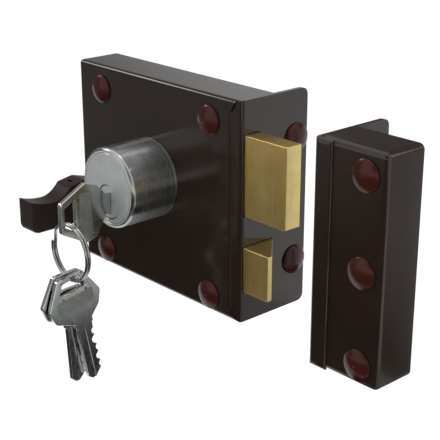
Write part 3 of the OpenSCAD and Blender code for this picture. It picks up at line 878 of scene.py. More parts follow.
@dataclass
class PressedBox:
    """Box pressed from sheet, open at its back and at one side.

    Attributes:
        sheet: Thickness of the sheet.
        radius: Radius of the outer edges.
    """

    sheet: float = 1.5
    radius: float = 2.0

    def build(self, name: str, low: Vector, high: Vector, opening: Solid) -> Piece:
        """Makes the box.

        Args:
            name: Name of the object.
            low: Lowest corner in mm.
            high: Highest corner in mm.
            opening: Direction of the open side.

        Returns:
            The box.
        """
        mesh = cube(low, high)
        gone = list(filter(facing(INWARDS, opening), mesh.faces))
        bmesh.ops.delete(mesh, geom=gone, context="FACES")
        inner = [edge for edge in mesh.edges if len(edge.link_faces) == 2]
        roll_edges(mesh, inner, self.radius, steps=6)
        made = to_object(name, mesh)
        return changed(made, "SOLIDIFY", thickness=self.sheet * MM, offset=-1.0, use_even_offset=True)


@dataclass
class EdgePlate:
    """Bolt-side plate with a front lip and a flange that runs back along the door's edge.

    Attributes:
        thickness: Thickness of the plate.
        lip_thickness: Thickness of the lip.
        lip: Width of the lip.
        mitre: Height of the mitre at each end of the lip.
        roll: Radius of the lip's free edge.
        corner: Radius of the flange's rear corners.
        front_corner: Radius of the corners at the bend.
        soft: Width of the broken edges.
        hair: How far a mitre's cutter runs past the lip's back.
    """

    thickness: float = 2.0
    lip_thickness: float = 1.2
    lip: float = 6.0
    mitre: float = 5.5
    roll: float = 0.0
    corner: float = 4.0
    front_corner: float = 0.6
    soft: float = 0.3
    hair: float = 0.01

    def profile(self, low: Vector, high: Vector, step: float) -> list[Flat]:
        """Draws the bent section across X and Y.

        Args:
            low: Lowest corner in mm.
            high: Highest corner in mm.
            step: Direction that the lip runs in along X.

        Returns:
            Points of the section.
        """
        outer = high.x if step < 0 else low.x
        inner, edge = outer + step * self.thickness, outer + step * self.lip
        back, end = low.y + self.lip_thickness, high.y + PAST
        t, unit = self.thickness, ((0.0, 0.0), 1.0, 0, 90)
        bend = [(inner - step * t * c, low.y + t * (1 - s)) for c, s in arc(*unit)]
        free = [(edge - step * self.roll * (1 - s), low.y + self.roll * (1 - c)) for c, s in arc(*unit, 6)]
        return [(outer, end), *bend, *free, (edge, back), (inner, back), (inner, end)]

    def mitres(self, low: Vector, high: Vector) -> list[Piece]:
        """Gives the cutters of the lip's mitred ends.

        Args:
            low: Lowest corner in mm.
            high: Highest corner in mm.

        Returns:
            The cutters.
        """
        near, far = high.x - self.thickness, high.x - self.lip - PAST
        drop = self.mitre / (self.lip - self.thickness) * (near - far)
        ends = low.y - PAST, low.y + self.lip_thickness + self.hair
        tools = []
        for edge, way in ((high.z, -1.0), (low.z, 1.0)):
            past = edge - way * PAST
            wedge = [(near, edge), (far, edge + way * drop), (far, past), (near, past)]
            tools.append(slab("mitre", [wedge], *ends, Plane.FRONT))
        return tools

    def build(
        self, name: str, low: Vector, high: Vector, step: float, windows: Sequence[tuple[Flat, Flat]]
    ) -> Piece:
        """Makes the plate.

        Args:
            name: Name of the object.
            low: Lowest corner in mm.
            high: Highest corner in mm.
            step: Direction that the lip runs in along X.
            windows: Low and high corner of each window across Y and Z.

        Returns:
            The plate.
        """
        made = slab(name, [self.profile(low, high, step)], low.z, high.z, Plane.TOP)
        radii = (self.front_corner, self.corner, self.corner, self.front_corner)
        shape = rounded(rectangle((low.y, low.z), (high.y, high.z)), radii, steps=8)
        form = slab("form", [shape], low.x - PAST, high.x + PAST, Plane.SIDE)
        carve(made, form, operation="INTERSECT")
        if self.mitre > 0:
            carve(made, *self.mitres(low, high))
        for first, second in windows:
            carve(made, block("window", (low.x - PAST, *first), (high.x + PAST, *second)))
        return made


@dataclass
class LockCase:
    """Enamelled case: cover, face plate, caps and the closing plate's screws.

    Attributes:
        gap: Clearance round the bolts and the latch's tail.
        lip_gap: Clearance along the face plate's lip.
        mitre_gap: Clearance along the lip's mitres.
        recess: Depth of the recess that takes the lip.
        rolled: Radius of the cover's edge beside the lip.
        tail_front: Front of the slot for the latch's tail along Y.
        soft: Width of the cover's broken edges.
        hole: Radius of a fixing hole.
        cap: Cap that covers each fixing screw.
        screw: Screw of the closing plate.
        cover: Pressed box of the cover.
        plate: Face plate.
    """

    gap: float = 0.4
    lip_gap: float = 0.06
    mitre_gap: float = 0.1
    recess: float = 2.1
    rolled: float = 1.4
    tail_front: float = -12.9
    soft: float = 0.25
    hole: float = 2.6
    cap: ScrewCap = field(default_factory=ScrewCap)
    screw: ClosingScrew = field(default_factory=ClosingScrew)
    cover: PressedBox = field(default_factory=PressedBox)
    plate: EdgePlate = field(default_factory=EdgePlate)

    def window(self, node: str, extra: float = 0.0) -> tuple[Flat, Flat]:
        """Gives the opening that a bolt runs through.

        Args:
            node: Node of the bolt.
            extra: Clearance beyond the case's own.

        Returns:
            Low and high corner across Y and Z.
        """
        low, high = box_mm(node)
        gap = self.gap + extra
        return (low.y - gap, low.z - gap), (high.y + gap, high.z + gap)

    def cover_shell(self) -> None:
        """Makes and dresses the cover with its lip recess and the slot for the latch's tail."""
        low, high = box_mm("case_cover")
        made = self.cover.build("cover_shell", low, high, BOLTWARDS)
        lip = box_mm("face_plate")[0].x - self.lip_gap
        bottom, top = low.z + self.plate.mitre, high.z - self.plate.mitre
        under, over, right = low.z - PAST, high.z + PAST, high.x + 5 * PAST
        shape = [(high.x, under), (lip, bottom - self.mitre_gap), (lip, top + self.mitre_gap)]
        shape += [(high.x, over), (right, over), (right, under)]
        front = low.y - PAST
        carve(made, slab("lip_recess", [shape], front, low.y + self.recess, Plane.FRONT))
        r = self.rolled
        trim = [(lip + PAST, front), (lip - r, front), *arc((lip - r, low.y + r), r, -90, 0)]
        trim.append((lip + PAST, low.y + r))
        carve(made, slab("rolled_edge", [trim], bottom, top, Plane.TOP))
        tail_low, tail_high = box_mm("latch_tail")
        first = (low.x - PAST, self.tail_front, tail_low.z - self.gap)
        last = (low.x + 2 * self.cover.sheet, tail_high.y + self.gap, tail_high.z + self.gap)
        carve(made, block("tail_slot", first, last))
        settle(soften(made, self.soft), ENAMEL, Body.CASE, ["case_cover"])

    def face_plate(self, seats: Sequence[Solid]) -> None:
        """Makes and dresses the plate that the bolts run through.

        Args:
            seats: Middle of each fixing hole in mm.
        """
        windows = [self.window("deadbolt"), self.window("latch_bolt")]
        made = self.plate.build("bolt_side_plate", *box_mm("face_plate"), -1.0, windows)
        reach = 5 * PAST
        shank = [(0.0, -reach), (self.hole, -reach), (self.hole, reach), (0.0, reach)]
        for seat in seats:
            carve(made, lathe("hole", shank, seat, BOLTWARDS, steps=40))
        settle(soften(made, self.plate.soft), ENAMEL, Body.CASE, ["face_plate"])

    def build(self) -> None:
        """Makes and dresses the whole case."""
        self.cover_shell()
        r = self.cap.radius
        low, high = box_mm("flange_caps")
        side = [(low.x, low.y + r, z) for z in (low.z + r, high.z - r)]
        self.face_plate(side)
        self.cap.row("flange_screw_caps", side, BOLTWARDS, Body.CASE, "flange_caps")
        low, high = box_mm("case_caps")
        columns, heights = (low.x + r, high.x - r), (low.z + r, high.z - r)
        front = [(x, high.y, z) for x in columns for z in heights]
        self.cap.row("case_screw_caps", front, OUTWARDS, Body.CASE, "case_caps")
        self.screw.row("closing_screws", "back_screws", Body.CASE)


@dataclass
class KeyCylinder:
    """Steel cylinder on the case's front with the plug that the key turns.

    Attributes:
        bevel: Radius of the rounded front rim.
        groove: Distance of the fine groove on the face from the rounded rim.
        fine: Half width and depth of the groove on the face, and half width of the one on the side.
        foot: Distance of the fine groove on the side from the case.
        shallow: Depth of that groove.
        seat: Width and height of the broken edge at the case.
        mouth: Width and depth of the bore's countersink, and how far its cutter runs past the face.
        plug_radius: Radius of the plug.
        plug_edge: Bevel of the plug's front edge.
        joint: Width of the joint round the plug.
        slot: Half width and half height of the keyway.
        ward: Outline of the ward below the slot, from the slot's foot.
        depth: Depth of the keyway.
    """

    bevel: float = 1.8
    groove: float = 0.5
    fine: float = 0.12
    foot: float = 1.5
    shallow: float = 0.06
    seat: Flat = (0.25, 0.2)
    mouth: Solid = (0.5, 0.25, 0.4)
    plug_radius: float = 8.0
    plug_edge: float = 0.25
    joint: float = 0.2
    slot: Flat = (1.4, 4.4)
    ward: Outline = ((-0.5, -1.5), (0.9, -1.5), (0.9, -0.7), (0.1, 0.2), (-0.9, 0.2))
    depth: float = 29.3

    def barrel(self) -> None:
        """Makes and dresses the cylinder's body with its bored plug hole."""
        low, high = box_mm("cylinder_body")
        radius, length = (high.x - low.x) / 2, high.y - low.y
        fine, foot = self.fine, self.foot
        profile = [(0.0, 0.0), (radius - self.seat[0], 0.0), (radius, self.seat[1])]
        profile += [(radius, foot - fine), (radius - self.shallow, foot), (radius, foot + fine)]
        profile += arc((radius - self.bevel, length - self.bevel), self.bevel, 0, 90)
        inner = radius - self.bevel - self.groove
        profile += [(inner + fine, length), (inner, length - fine), (inner - fine, length), (0.0, length)]
        middle = (0.0, high.y, (low.z + high.z) / 2)
        made = lathe("cylinder_barrel", profile, middle, OUTWARDS, steps=128)
        bore, end = self.plug_radius + self.joint, length + self.mouth[2]
        hole = [(0.0, -PAST), (bore, -PAST), (bore, length - self.mouth[1])]
        hole += [(bore + self.mouth[0], end), (0.0, end)]
        carve(made, lathe("bore", hole, (0.0, high.y, 0.0), OUTWARDS))
        settle(made, CYLINDER_STEEL, Body.CASE, ["cylinder_body"], smooth=30.0)
        # The front face gets the paler steel, painted light
        repaint(made, LIT_GROUND_STEEL, facing(OUTWARDS))

    def plug(self) -> None:
        """Makes and dresses the plug with its keyway: the blade's slot and the ward below it."""
        low, high = box_mm("plug")
        r, length, edge = self.plug_radius, high.y - low.y, self.plug_edge
        profile = [(0.0, 0.0), (r, 0.0), (r, length - edge), (r - edge, length), (0.0, length)]
        made = lathe("turning_plug", profile, (0.0, high.y, 0.0), OUTWARDS)
        front, end = low.y - PAST, low.y + self.depth
        wide, tall = self.slot
        ward = [(u, v - tall) for u, v in self.ward]
        carve(made, block("blade_slot", (-wide, front, -tall), (wide, end, tall)))
        carve(made, slab("ward", [ward], front, end, Plane.FRONT))
        settle(made, CYLINDER_STEEL, Body.PLUG, ["plug"], smooth=30.0)
        # The plug's front face gets the paler steel, painted light
        repaint(made, LIT_GROUND_STEEL, facing(OUTWARDS))

    def build(self) -> None:
        """Makes and dresses the cylinder and its plug."""
        self.barrel()
        self.plug()


@dataclass
class BoltWork:
    """Brass deadbolt and latch, with broken edges, and the spring behind the latch.

    Attributes:
        soft: Radius of the bolts' edges.
        tip: Width of the latch's flat tip.
        slope: Run of the latch's bevel beside its rise.
        throw: Travel of the latch.
        wire: Radius of the spring's wire.
        coils: Turns of the spring.
    """

    soft: float = 0.35
    tip: float = 2.5
    slope: float = 0.999
    throw: float = 15.5
    wire: float = 0.45
    coils: int = 9

    def spring(self) -> None:
        """Winds the latch's spring between its stop and the latch, as one fixed piece on no body.

        Its turns lie close at the ends and open in the middle, so that they are even when it is closed up.
        """
        low, high = box_mm("latch_spring")
        mid = (low + high) / 2
        radius = (high.z - low.z) / 2 - self.wire
        long = high.x - low.x - 2 * self.wire
        path: list[Solid] = []
        chords = 360
        for t in (i / chords for i in range(chords + 1)):
            closed = long * t - self.throw * ease(t)
            turn = 2 * math.pi * self.coils * closed / (long - self.throw)
            across = (mid.y + radius * math.cos(turn), mid.z + radius * math.sin(turn))
            path.append((low.x + self.wire + long * t, *across))
        made = tube("latch_coil", path, self.wire)
        dress(made, ZINC_STEEL, smooth=60.0, nodes=["latch_spring"])
        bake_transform(made)
        LOG.info("%s: %d faces between case and latch", made.name, len(made.data.polygons))

    def build(self) -> None:
        """Makes and dresses both bolts and the spring."""
        low, high = box_mm("deadbolt")
        bolt = block("thrown_deadbolt", low, high, self.soft)
        settle(bolt, BOLT_BRASS, Body.DEADBOLT, ["deadbolt", "deadbolt_rivets"])
        # The deadbolt's end gets the paler brass, a painted highlight
        repaint(bolt, LIT_MILLED_BRASS, facing(BOLTWARDS))
        low, high = box_mm("latch_bolt")
        run = (high.y - low.y - self.tip) * self.slope
        shape = [(low.x, low.y), (high.x, low.y), (high.x, low.y + self.tip)]
        shape += [(high.x - run, high.y), (low.x, high.y)]
        latch = slab("bevelled_latch", [shape], low.z, high.z, Plane.TOP, self.soft)
        settle(latch, BOLT_BRASS, Body.LATCH, ["latch_bolt", "latch_rivets"])
        # The latch's end gets the paler brass, a painted highlight
        repaint(latch, LIT_MILLED_BRASS, facing(BOLTWARDS))
        self.spring()


@dataclass
class ThumbPull:
    """Plastic pull with a thumb hollow, moulded over the latch's tail.

    Attributes:
        soft: Radius of its edges.
        hollow: Depth of the thumb hollow.
        front: Length and rise of the lip before the hollow.
        ridge: Length and rise of the slope behind the hollow.
        crest: Distance of the highest point behind the ridge.
        fall: Drop from the crest to the heel.
        turns: Radii of the ridge's end, the crest, the heel and the foot.
        nose: Points of the rounded lower front, from the front's foot.
        seat: How far the pin's seat passes the pin along X, falls short of it along Y and sinks.
    """

    soft: float = 0.8
    hollow: float = 7.7
    front: Flat = (13.33, 2.6)
    ridge: Flat = (10.3, 6.16)
    crest: float = 8.9
    fall: float = 4.0
    turns: tuple[float, ...] = (0.0, 4.0, 1.5, 0.0)
    nose: Outline = ((9.0, 0.0), (3.0, 0.0), (0.9, 0.9), (0.0, 3.0))
    seat: Solid = (0.9, 0.2, 0.5)

    def outline(self, low: Vector, high: Vector) -> list[Flat]:
        """Draws the pull's side view: front lip, hollow, ridge, crest and heel.

        Args:
            low: Lowest corner in mm.
            high: Highest corner in mm.

        Returns:
            Points along Y and Z.
        """
        (long, rise), (run, climb) = self.front, self.ridge
        floor, dip = high.z - self.hollow, low.y + long
        near, far = ([k / chords for k in range(chords)] for chords in (6, 7))
        lip = [(low.y + long * t, floor + rise * (1 - t) ** 2) for t in near]
        slope = [(dip + run * t, floor + climb * t**2) for t in far]
        top = (dip + run, floor + climb)
        heel = [top, (top[0] + self.crest, high.z), (high.y, high.z - self.fall), (high.y, low.z)]
        under = [(low.y + u, low.z + v) for u, v in self.nose]
        return [*lip, *slope, *rounded(heel, self.turns), *under]

    def build(self) -> None:
        """Makes and dresses the pull."""
        low, high = box_mm("pull_handle")
        made = slab("thumb_pull", [self.outline(low, high)], low.x, high.x, Plane.SIDE, self.soft)
        pin_low, pin_high = box_mm("pull_pin")
        past, short, sunk = self.seat
        first = (pin_low.x - past, pin_low.y + short, pin_high.z - sunk)
        last = (pin_high.x + past, pin_high.y - short, high.z + PAST)
        carve(made, block("pin_seat", first, last))
        settle(made, PULL_PLASTIC, Body.LATCH, ["pull_handle"], smooth=50.0)


@dataclass
class KeySet:
    """Key in the lock, the split ring and two spare keys that hang from it.

    Attributes:
        thickness: Thickness of a key.
        bow: Length and height of a bow.
        far: Half height of the bow's far end.
        widest: Where the bow is widest, as a share of its length.
        shoulder: Where the bow turns in to the neck, as shares of its length and height.
        turns: Radii of the outline's corners from the neck to the far end.
        drop: Height of the blade's middle above the bow's.
        neck: Length and half height of the neck.
        blade: Length and height of the blade.
        tip: Length of the tip's lower and upper slope, and drop of the upper one.
        cuts: Depth of each cut in the blade.
        cut_ends: Distance of the first cut from the shoulder and of the last from the tip.
        cut_flat: Half length of a cut's floor.
        groove: Depth and height of the groove along the blade, and its distance from the shoulder.
        inset: Distance of the slot from the bow's far end.
        slot: Width of the slot in the bow and its length along the inner side.
        slot_turn: Radius of the slot's corners.
        rim: Width of the bow's raised rim.
        panel_width: Width of the bow's sunk panel.
        panel_turn: Radius of the panel's corners.
        sunk: Depth of the panel.
        soft: Radius of a key's edges.
        broken: Width of the edges that the cuts leave.
        ring: Mean radius of the ring and radius of its wire.
        ends: Angle of each wire end from the split, in radians.
        crossing: Angle that the crossing of the two turns takes up.
        split: Place of the split round the ring in degrees.
        apart: Distance of each turn from the ring's middle.
        step: Distance of each spare key from the middle.
        leans: Lean of the front and the rear spare key in degrees.
        hang_depth: Distance of the ring's wire from the slot's far side in a spare key.
        hang_side: Distance of that wire from the bow's middle.
    """

    thickness: float = 2.4
    bow: Flat = (25.0, 28.8)
    far: float = 7.0
    widest: float = 0.54
    shoulder: Flat = (0.81, 0.42)
    turns: tuple[float, ...] = (0.3, 1.2, 2.0, 2.0, 1.6)
    drop: float = 2.0
    neck: Flat = (2.5, 5.0)
    blade: Flat = (29.0, 8.4)
    tip: Solid = (2.1, 3.6, 0.6)
    cuts: tuple[float, ...] = (1.2, 2.0, 0.9, 1.7, 1.1)
    cut_ends: Flat = (5.0, 5.5)
    cut_flat: float = 0.7
    groove: Solid = (0.5, 1.5, 1.0)
    inset: float = 2.2
    slot: Flat = (5.9, 15.6)
    slot_turn: float = 0.9
    rim: float = 2.2
    panel_width: float = 6.8
    panel_turn: float = 0.8
    sunk: float = 0.35
    soft: float = 0.35
    broken: float = 0.16
    ring: Flat = (13.25, 0.75)
    ends: float = 0.34
    crossing: float = 0.6
    split: float = 150.0
    apart: float = 0.7
    step: float = 1.65
    leans: Flat = (11.0, 3.0)
    hang_depth: float = 1.6
    hang_side: float = 2.6

    def blade_edge(self) -> list[Flat]:
        """Draws the blade from the lower shoulder round its tip to the cuts and the upper shoulder.

        Returns:
            Points of the edge.
        """
        long, tall = self.blade[0], self.blade[1] / 2
        under, over, fall = self.tip
        points = [(0.0, -tall), (long - under, -tall), (long, -tall / 2), (long, 0.0)]
        points.append((long - over, tall - fall))
        pitch = (long - sum(self.cut_ends)) / (len(self.cuts) - 1)
        for i, deep in reversed(list(enumerate(self.cuts))):
            right, left = (self.cut_ends[0] + i * pitch + side * self.cut_flat for side in (1, -1))
            points += [(right + deep, tall), (right, tall - deep), (left, tall - deep), (left - deep, tall)]
        return [*points, (0.0, tall)]

    def outline(self) -> list[Flat]:
        """Draws the whole key with its blade along the first axis and its shoulder at zero.

        Returns:
            Points of the outline.
        """
        (long, tall), (neck, stop) = self.bow, self.neck
        far = -neck - long
        stem = [(0.0, stop), (-neck, stop)]
        bow = [(far + self.shoulder[0] * long, self.shoulder[1] * tall)]
        bow += [(far + self.widest * long, tall / 2), (far, self.far)]
        upper = [*stem, *((u, v - self.drop) for u, v in bow)]
        lower = [*((u, -v - self.drop) for u, v in bow[::-1]), *((u, -v) for u, v in stem[::-1])]
        curved = rounded([*upper, *lower], (*self.turns, *self.turns[::-1]), steps=5)
        return [*curved, *self.blade_edge()]

    def slot_start(self) -> float:
        """Gives the place of the slot's far side along the key."""
        return self.inset - self.neck[0] - self.bow[0]

    def panel(self) -> list[Flat]:
        """Draws the sunk panel of the bow.

        Returns:
            Points of the panel.
        """
        start = self.slot_start() + self.slot[0] + self.rim
        half = self.bow[1] / 2 - 2 * self.rim
        low, high = (start, -half - self.drop), (start + self.panel_width, half - self.drop)
        return rounded(rectangle(low, high), [self.panel_turn] * 4)

    def bow_slot(self) -> list[Flat]:
        """Draws the slot, whose ends run along with the bow's slanted sides.

        Returns:
            Points of the slot.
        """
        start = self.slot_start()
        end, long = start + self.slot[0], self.slot[1] / 2
        slope = (self.bow[1] / 2 - self.far) / (self.widest * self.bow[0])
        short = long - slope * self.slot[0]
        corners = [(start, -short), (end, -long), (end, long), (start, short)]
        return rounded([(u, v - self.drop) for u, v in corners], [self.slot_turn] * 4)

    def skins(self, depth: float) -> tuple[Flat, Flat]:
        """Gives the reach along X of a cut of some depth in each side of a key."""
        half = self.thickness / 2
        return (half - depth, half + PAST), (-half - PAST, -half + depth)

    def key(self, name: str) -> Piece:
        """Makes one key as it sits in the lock, its shoulder at the origin.

        Args:
            name: Name of the object.

        Returns:
            The key, with its blade along +Y and its cuts upwards.
        """
        half = self.thickness / 2
        made = slab(name, [self.outline(), self.bow_slot()], -half, half, Plane.SIDE, self.soft)
        for low, high in self.skins(self.sunk):
            carve(made, slab("panel", [self.panel()], low, high, Plane.SIDE))
        deep, tall, start = self.groove
        for low, high in self.skins(deep):
            carve(made, block("groove", (low, start, -tall), (high, self.blade[0] + PAST, 0.0)))
        return soften(made, self.broken)

    def hang(self, piece: Piece, side: float, lean: float) -> None:
        """Hangs a key on the ring's lowest point.

        Args:
            piece: Key at the origin.
            side: Which side of the middle it hangs on.
            lean: Its lean towards the door in degrees.
        """
        low, high = box_mm("key_ring")
        foot = Vector((side * self.step, (low.y + high.y) / 2, low.z + self.ring[1]))
        own = Vector((0.0, -self.slot_start() - self.hang_depth, self.drop - self.hang_side))
        turn = Matrix.Rotation(math.radians(lean - 90), 4, "X")
        piece.data.transform(Matrix.Translation(foot * MM) @ turn @ Matrix.Translation(own * MM))

    def finish(self, piece: Piece, body: Body, node: str, middle: float) -> None:
        """Dresses a key, with matt sides and a coined ground in the sunk panels of its bow.

        Args:
            piece: Key in its place.
            body: Body that carries it.
            node: Node that it stands for.
            middle: Place of the key's middle plane along X.
        """
        settle(piece, KEY_NICKEL, body, [node], smooth=35.0)
        sides = facing(BOLTWARDS, PULLWARDS)
        ground, near = self.thickness / 2 - self.sunk, 0.05
        repaint(piece, FACE_NICKEL, sides)
        repaint(
            piece,
            PANEL_NICKEL,
            lambda face: sides(face) and abs(abs(face.center.x / MM - middle) - ground) < near,
        )

    def split_ring(self) -> None:
        """Makes the split ring: two turns of wire that cross over where they begin and end."""
        low, high = box_mm("key_ring")
        mid = (low + high) / 2
        whole, chords = 2 * math.pi, 160
        path: list[Solid] = []
        for i in range(chords + 1):
            a = self.ends + 2 * (whole - self.ends) * i / chords
            t = min(1.0, max(0.0, (a - whole) / self.crossing + 0.5))
            turn = a + math.radians(self.split)
            x, z = mid.x + self.ring[0] * math.cos(turn), mid.z + self.ring[0] * math.sin(turn)
            path.append((x, mid.y + self.apart * (2 * ease(t) - 1), z))
        made = tube("split_ring", path, self.ring[1])
        settle(made, RING_NICKEL, Body.RING, ["key_ring"], smooth=60.0)

    def build(self) -> None:
        """Makes and dresses the keys and the ring."""
        shoulder = box_mm("plug")[0].y
        key = self.key("key_in_lock")
        key.data.transform(Matrix.Translation((0.0, shoulder * MM, 0.0)))
        self.finish(key, Body.KEY, "door_key", 0.0)
        self.split_ring()
        spares = ((1.0, Body.FRONT_SPARE, "front"), (-1.0, Body.REAR_SPARE, "rear"))
        for lean, (side, body, place) in zip(self.leans, spares):
            spare = self.key(f"hanging_key_{place}")
            self.hang(spare, side, lean)
            self.finish(spare, body, f"spare_key_{place}", side * self.step)


@dataclass
class Keeper:
    """Keeper that takes the bolts on the door frame: plate, pressed box, caps and screws.

    The photograph shows it lit apart from the lock, so its plate doesn't show in the bolts' gloss.

    Attributes:
        play: Clearance round the deadbolt beyond the case's own.
        soft: Width of the box's broken edges.
        cap: Cap that covers each fixing screw.
        cover: Pressed box.
        plate: Bolt-side plate.
    """

    play: float = 0.6
    soft: float = 0.3
    cap: ScrewCap = field(default_factory=ScrewCap)
    cover: PressedBox = field(default_factory=lambda: PressedBox(radius=2.5))
    plate: EdgePlate = field(
        default_factory=lambda: EdgePlate(lip_thickness=2.0, lip=9.0, mitre=0.0, roll=1.6, front_corner=2.8)
    )

    def build(self, case: LockCase) -> None:
        """Makes and dresses the keeper.

        Args:
            case: The case, whose bolts the keeper's windows take.
        """
        shell = self.cover.build("keeper_shell", *box_mm("keeper_cover"), PULLWARDS)
        settle(soften(shell, self.soft), ENAMEL, Body.KEEPER, ["keeper_cover"])
        windows = [case.window("deadbolt", self.play), case.window("latch_bolt")]
        plate = self.plate.build("keeper_side_plate", *box_mm("keeper_plate"), 1.0, windows)
        settle(soften(plate, self.plate.soft), ENAMEL, Body.KEEPER, ["keeper_plate"])
        plate.visible_glossy = False
        low, high = box_mm("keeper_caps")
        r = self.cap.radius
        seats = [(low.x + r, high.y, z) for z in (low.z + r, (low.z + high.z) / 2, high.z - r)]
        self.cap.row("keeper_screw_caps", seats, OUTWARDS, Body.KEEPER, "keeper_caps")
        case.screw.row("keeper_closing_screws", "keeper_screws", Body.KEEPER)


@dataclass
class InnerWork:
    """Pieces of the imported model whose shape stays, with the surface of their real material.

    Attributes:
        brass: Nodes of turned brass. The others are zinc-plated steel.
    """

    brass: tuple[str, ...] = ("driver_pins", "key_pins", "pinion_bearing")

    def dress(self) -> None:
        """Gives every node that stays its finish."""
        for name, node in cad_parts.items():
            if node.hide_render:
                continue
            finish = PIN_BRASS if name in self.brass else ZINC_STEEL
            node.data.materials.clear()
            node.data.materials.append(finish.material())
            LOG.info("%s: kept as packed", name)


@dataclass(frozen=True)
class ReflectionCard:
    """Glowing sheet, graded along one direction, which only glossy surfaces see: a painted reflection, as
    no camera, shadow or diffuse ray meets it.

    Attributes:
        name: Name of the card.
        corner: One of its corners in mm.
        across: Its first edge from that corner.
        along: Its second edge from that corner.
        course: Direction that it is graded in.
        reach: Distances along that direction, from the part's origin in mm, where grading starts and ends.
        level: Brightness there.
    """

    name: str
    corner: Solid
    across: Solid
    along: Solid
    course: Solid
    # level: Glow there, the brightness of the painted reflection.
    reach: Flat
    level: Flat

    def build(self) -> None:
        """Stands the glowing sheet beside the object, so that gloss mirrors its painted dark and pale
        grades.
        """
        corner, across, along = (Vector(side) for side in (self.corner, self.across, self.along))
        mesh = bmesh.new()
        ring = (corner, corner + across, corner + across + along, corner + along)
        mesh.faces.new([mesh.verts.new(point) for point in ring])
        made = to_object(self.name, mesh)
        paint = new_paint(f"painted_reflection_glow_{self.name}")
        tree = paint.node_tree
        place = add_node(tree, "TexCoord").outputs["Object"]
        away = add_node(tree, "VectorMath", {0: place, 1: self.course}, operation="DOT_PRODUCT")
        ends = dict(enumerate((*(end * MM for end in self.reach), *self.level), start=1))
        grade = add_node(tree, "MapRange", {"Value": away.outputs["Value"], **ends})
        # The glow is a painted reflection: only glossy rays meet it
        glow = add_node(tree, "Emission", {"Strength": grade.outputs["Result"]})
        feed(tree, tree.nodes["Material Output"], {"Surface": glow.outputs[0]})
        made.data.materials.append(paint)
        made.visible_camera = False
        made.visible_shadow = False
        made.visible_diffuse = False
        made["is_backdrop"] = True


@dataclass(frozen=True)
class Lamp:
    """Soft rectangular lamp of the studio.

    Attributes:
        name: Name of the lamp.
        place: Its place in mm.
        size: Width and height in mm.
        watts: Power.
        mirrored: Whether glossy surfaces show it.
    """

    name: str
    place: Solid
    size: Flat
    watts: float
    mirrored: bool = True

    def build(self, aim: Solid) -> None:
        """Hangs the lamp.

        Args:
            aim: Point that it faces, in mm.
        """
        light = bpy.data.lights.new(self.name, "AREA")
        light.shape = "RECTANGLE"
        light.size, light.size_y = (side * MM for side in self.size)
        light.energy = self.watts
        made = placed(self.name, light)
        made.location = Vector(self.place) * MM
        aimed(made, Vector(aim) - Vector(self.place))
        made.visible_glossy = self.mirrored


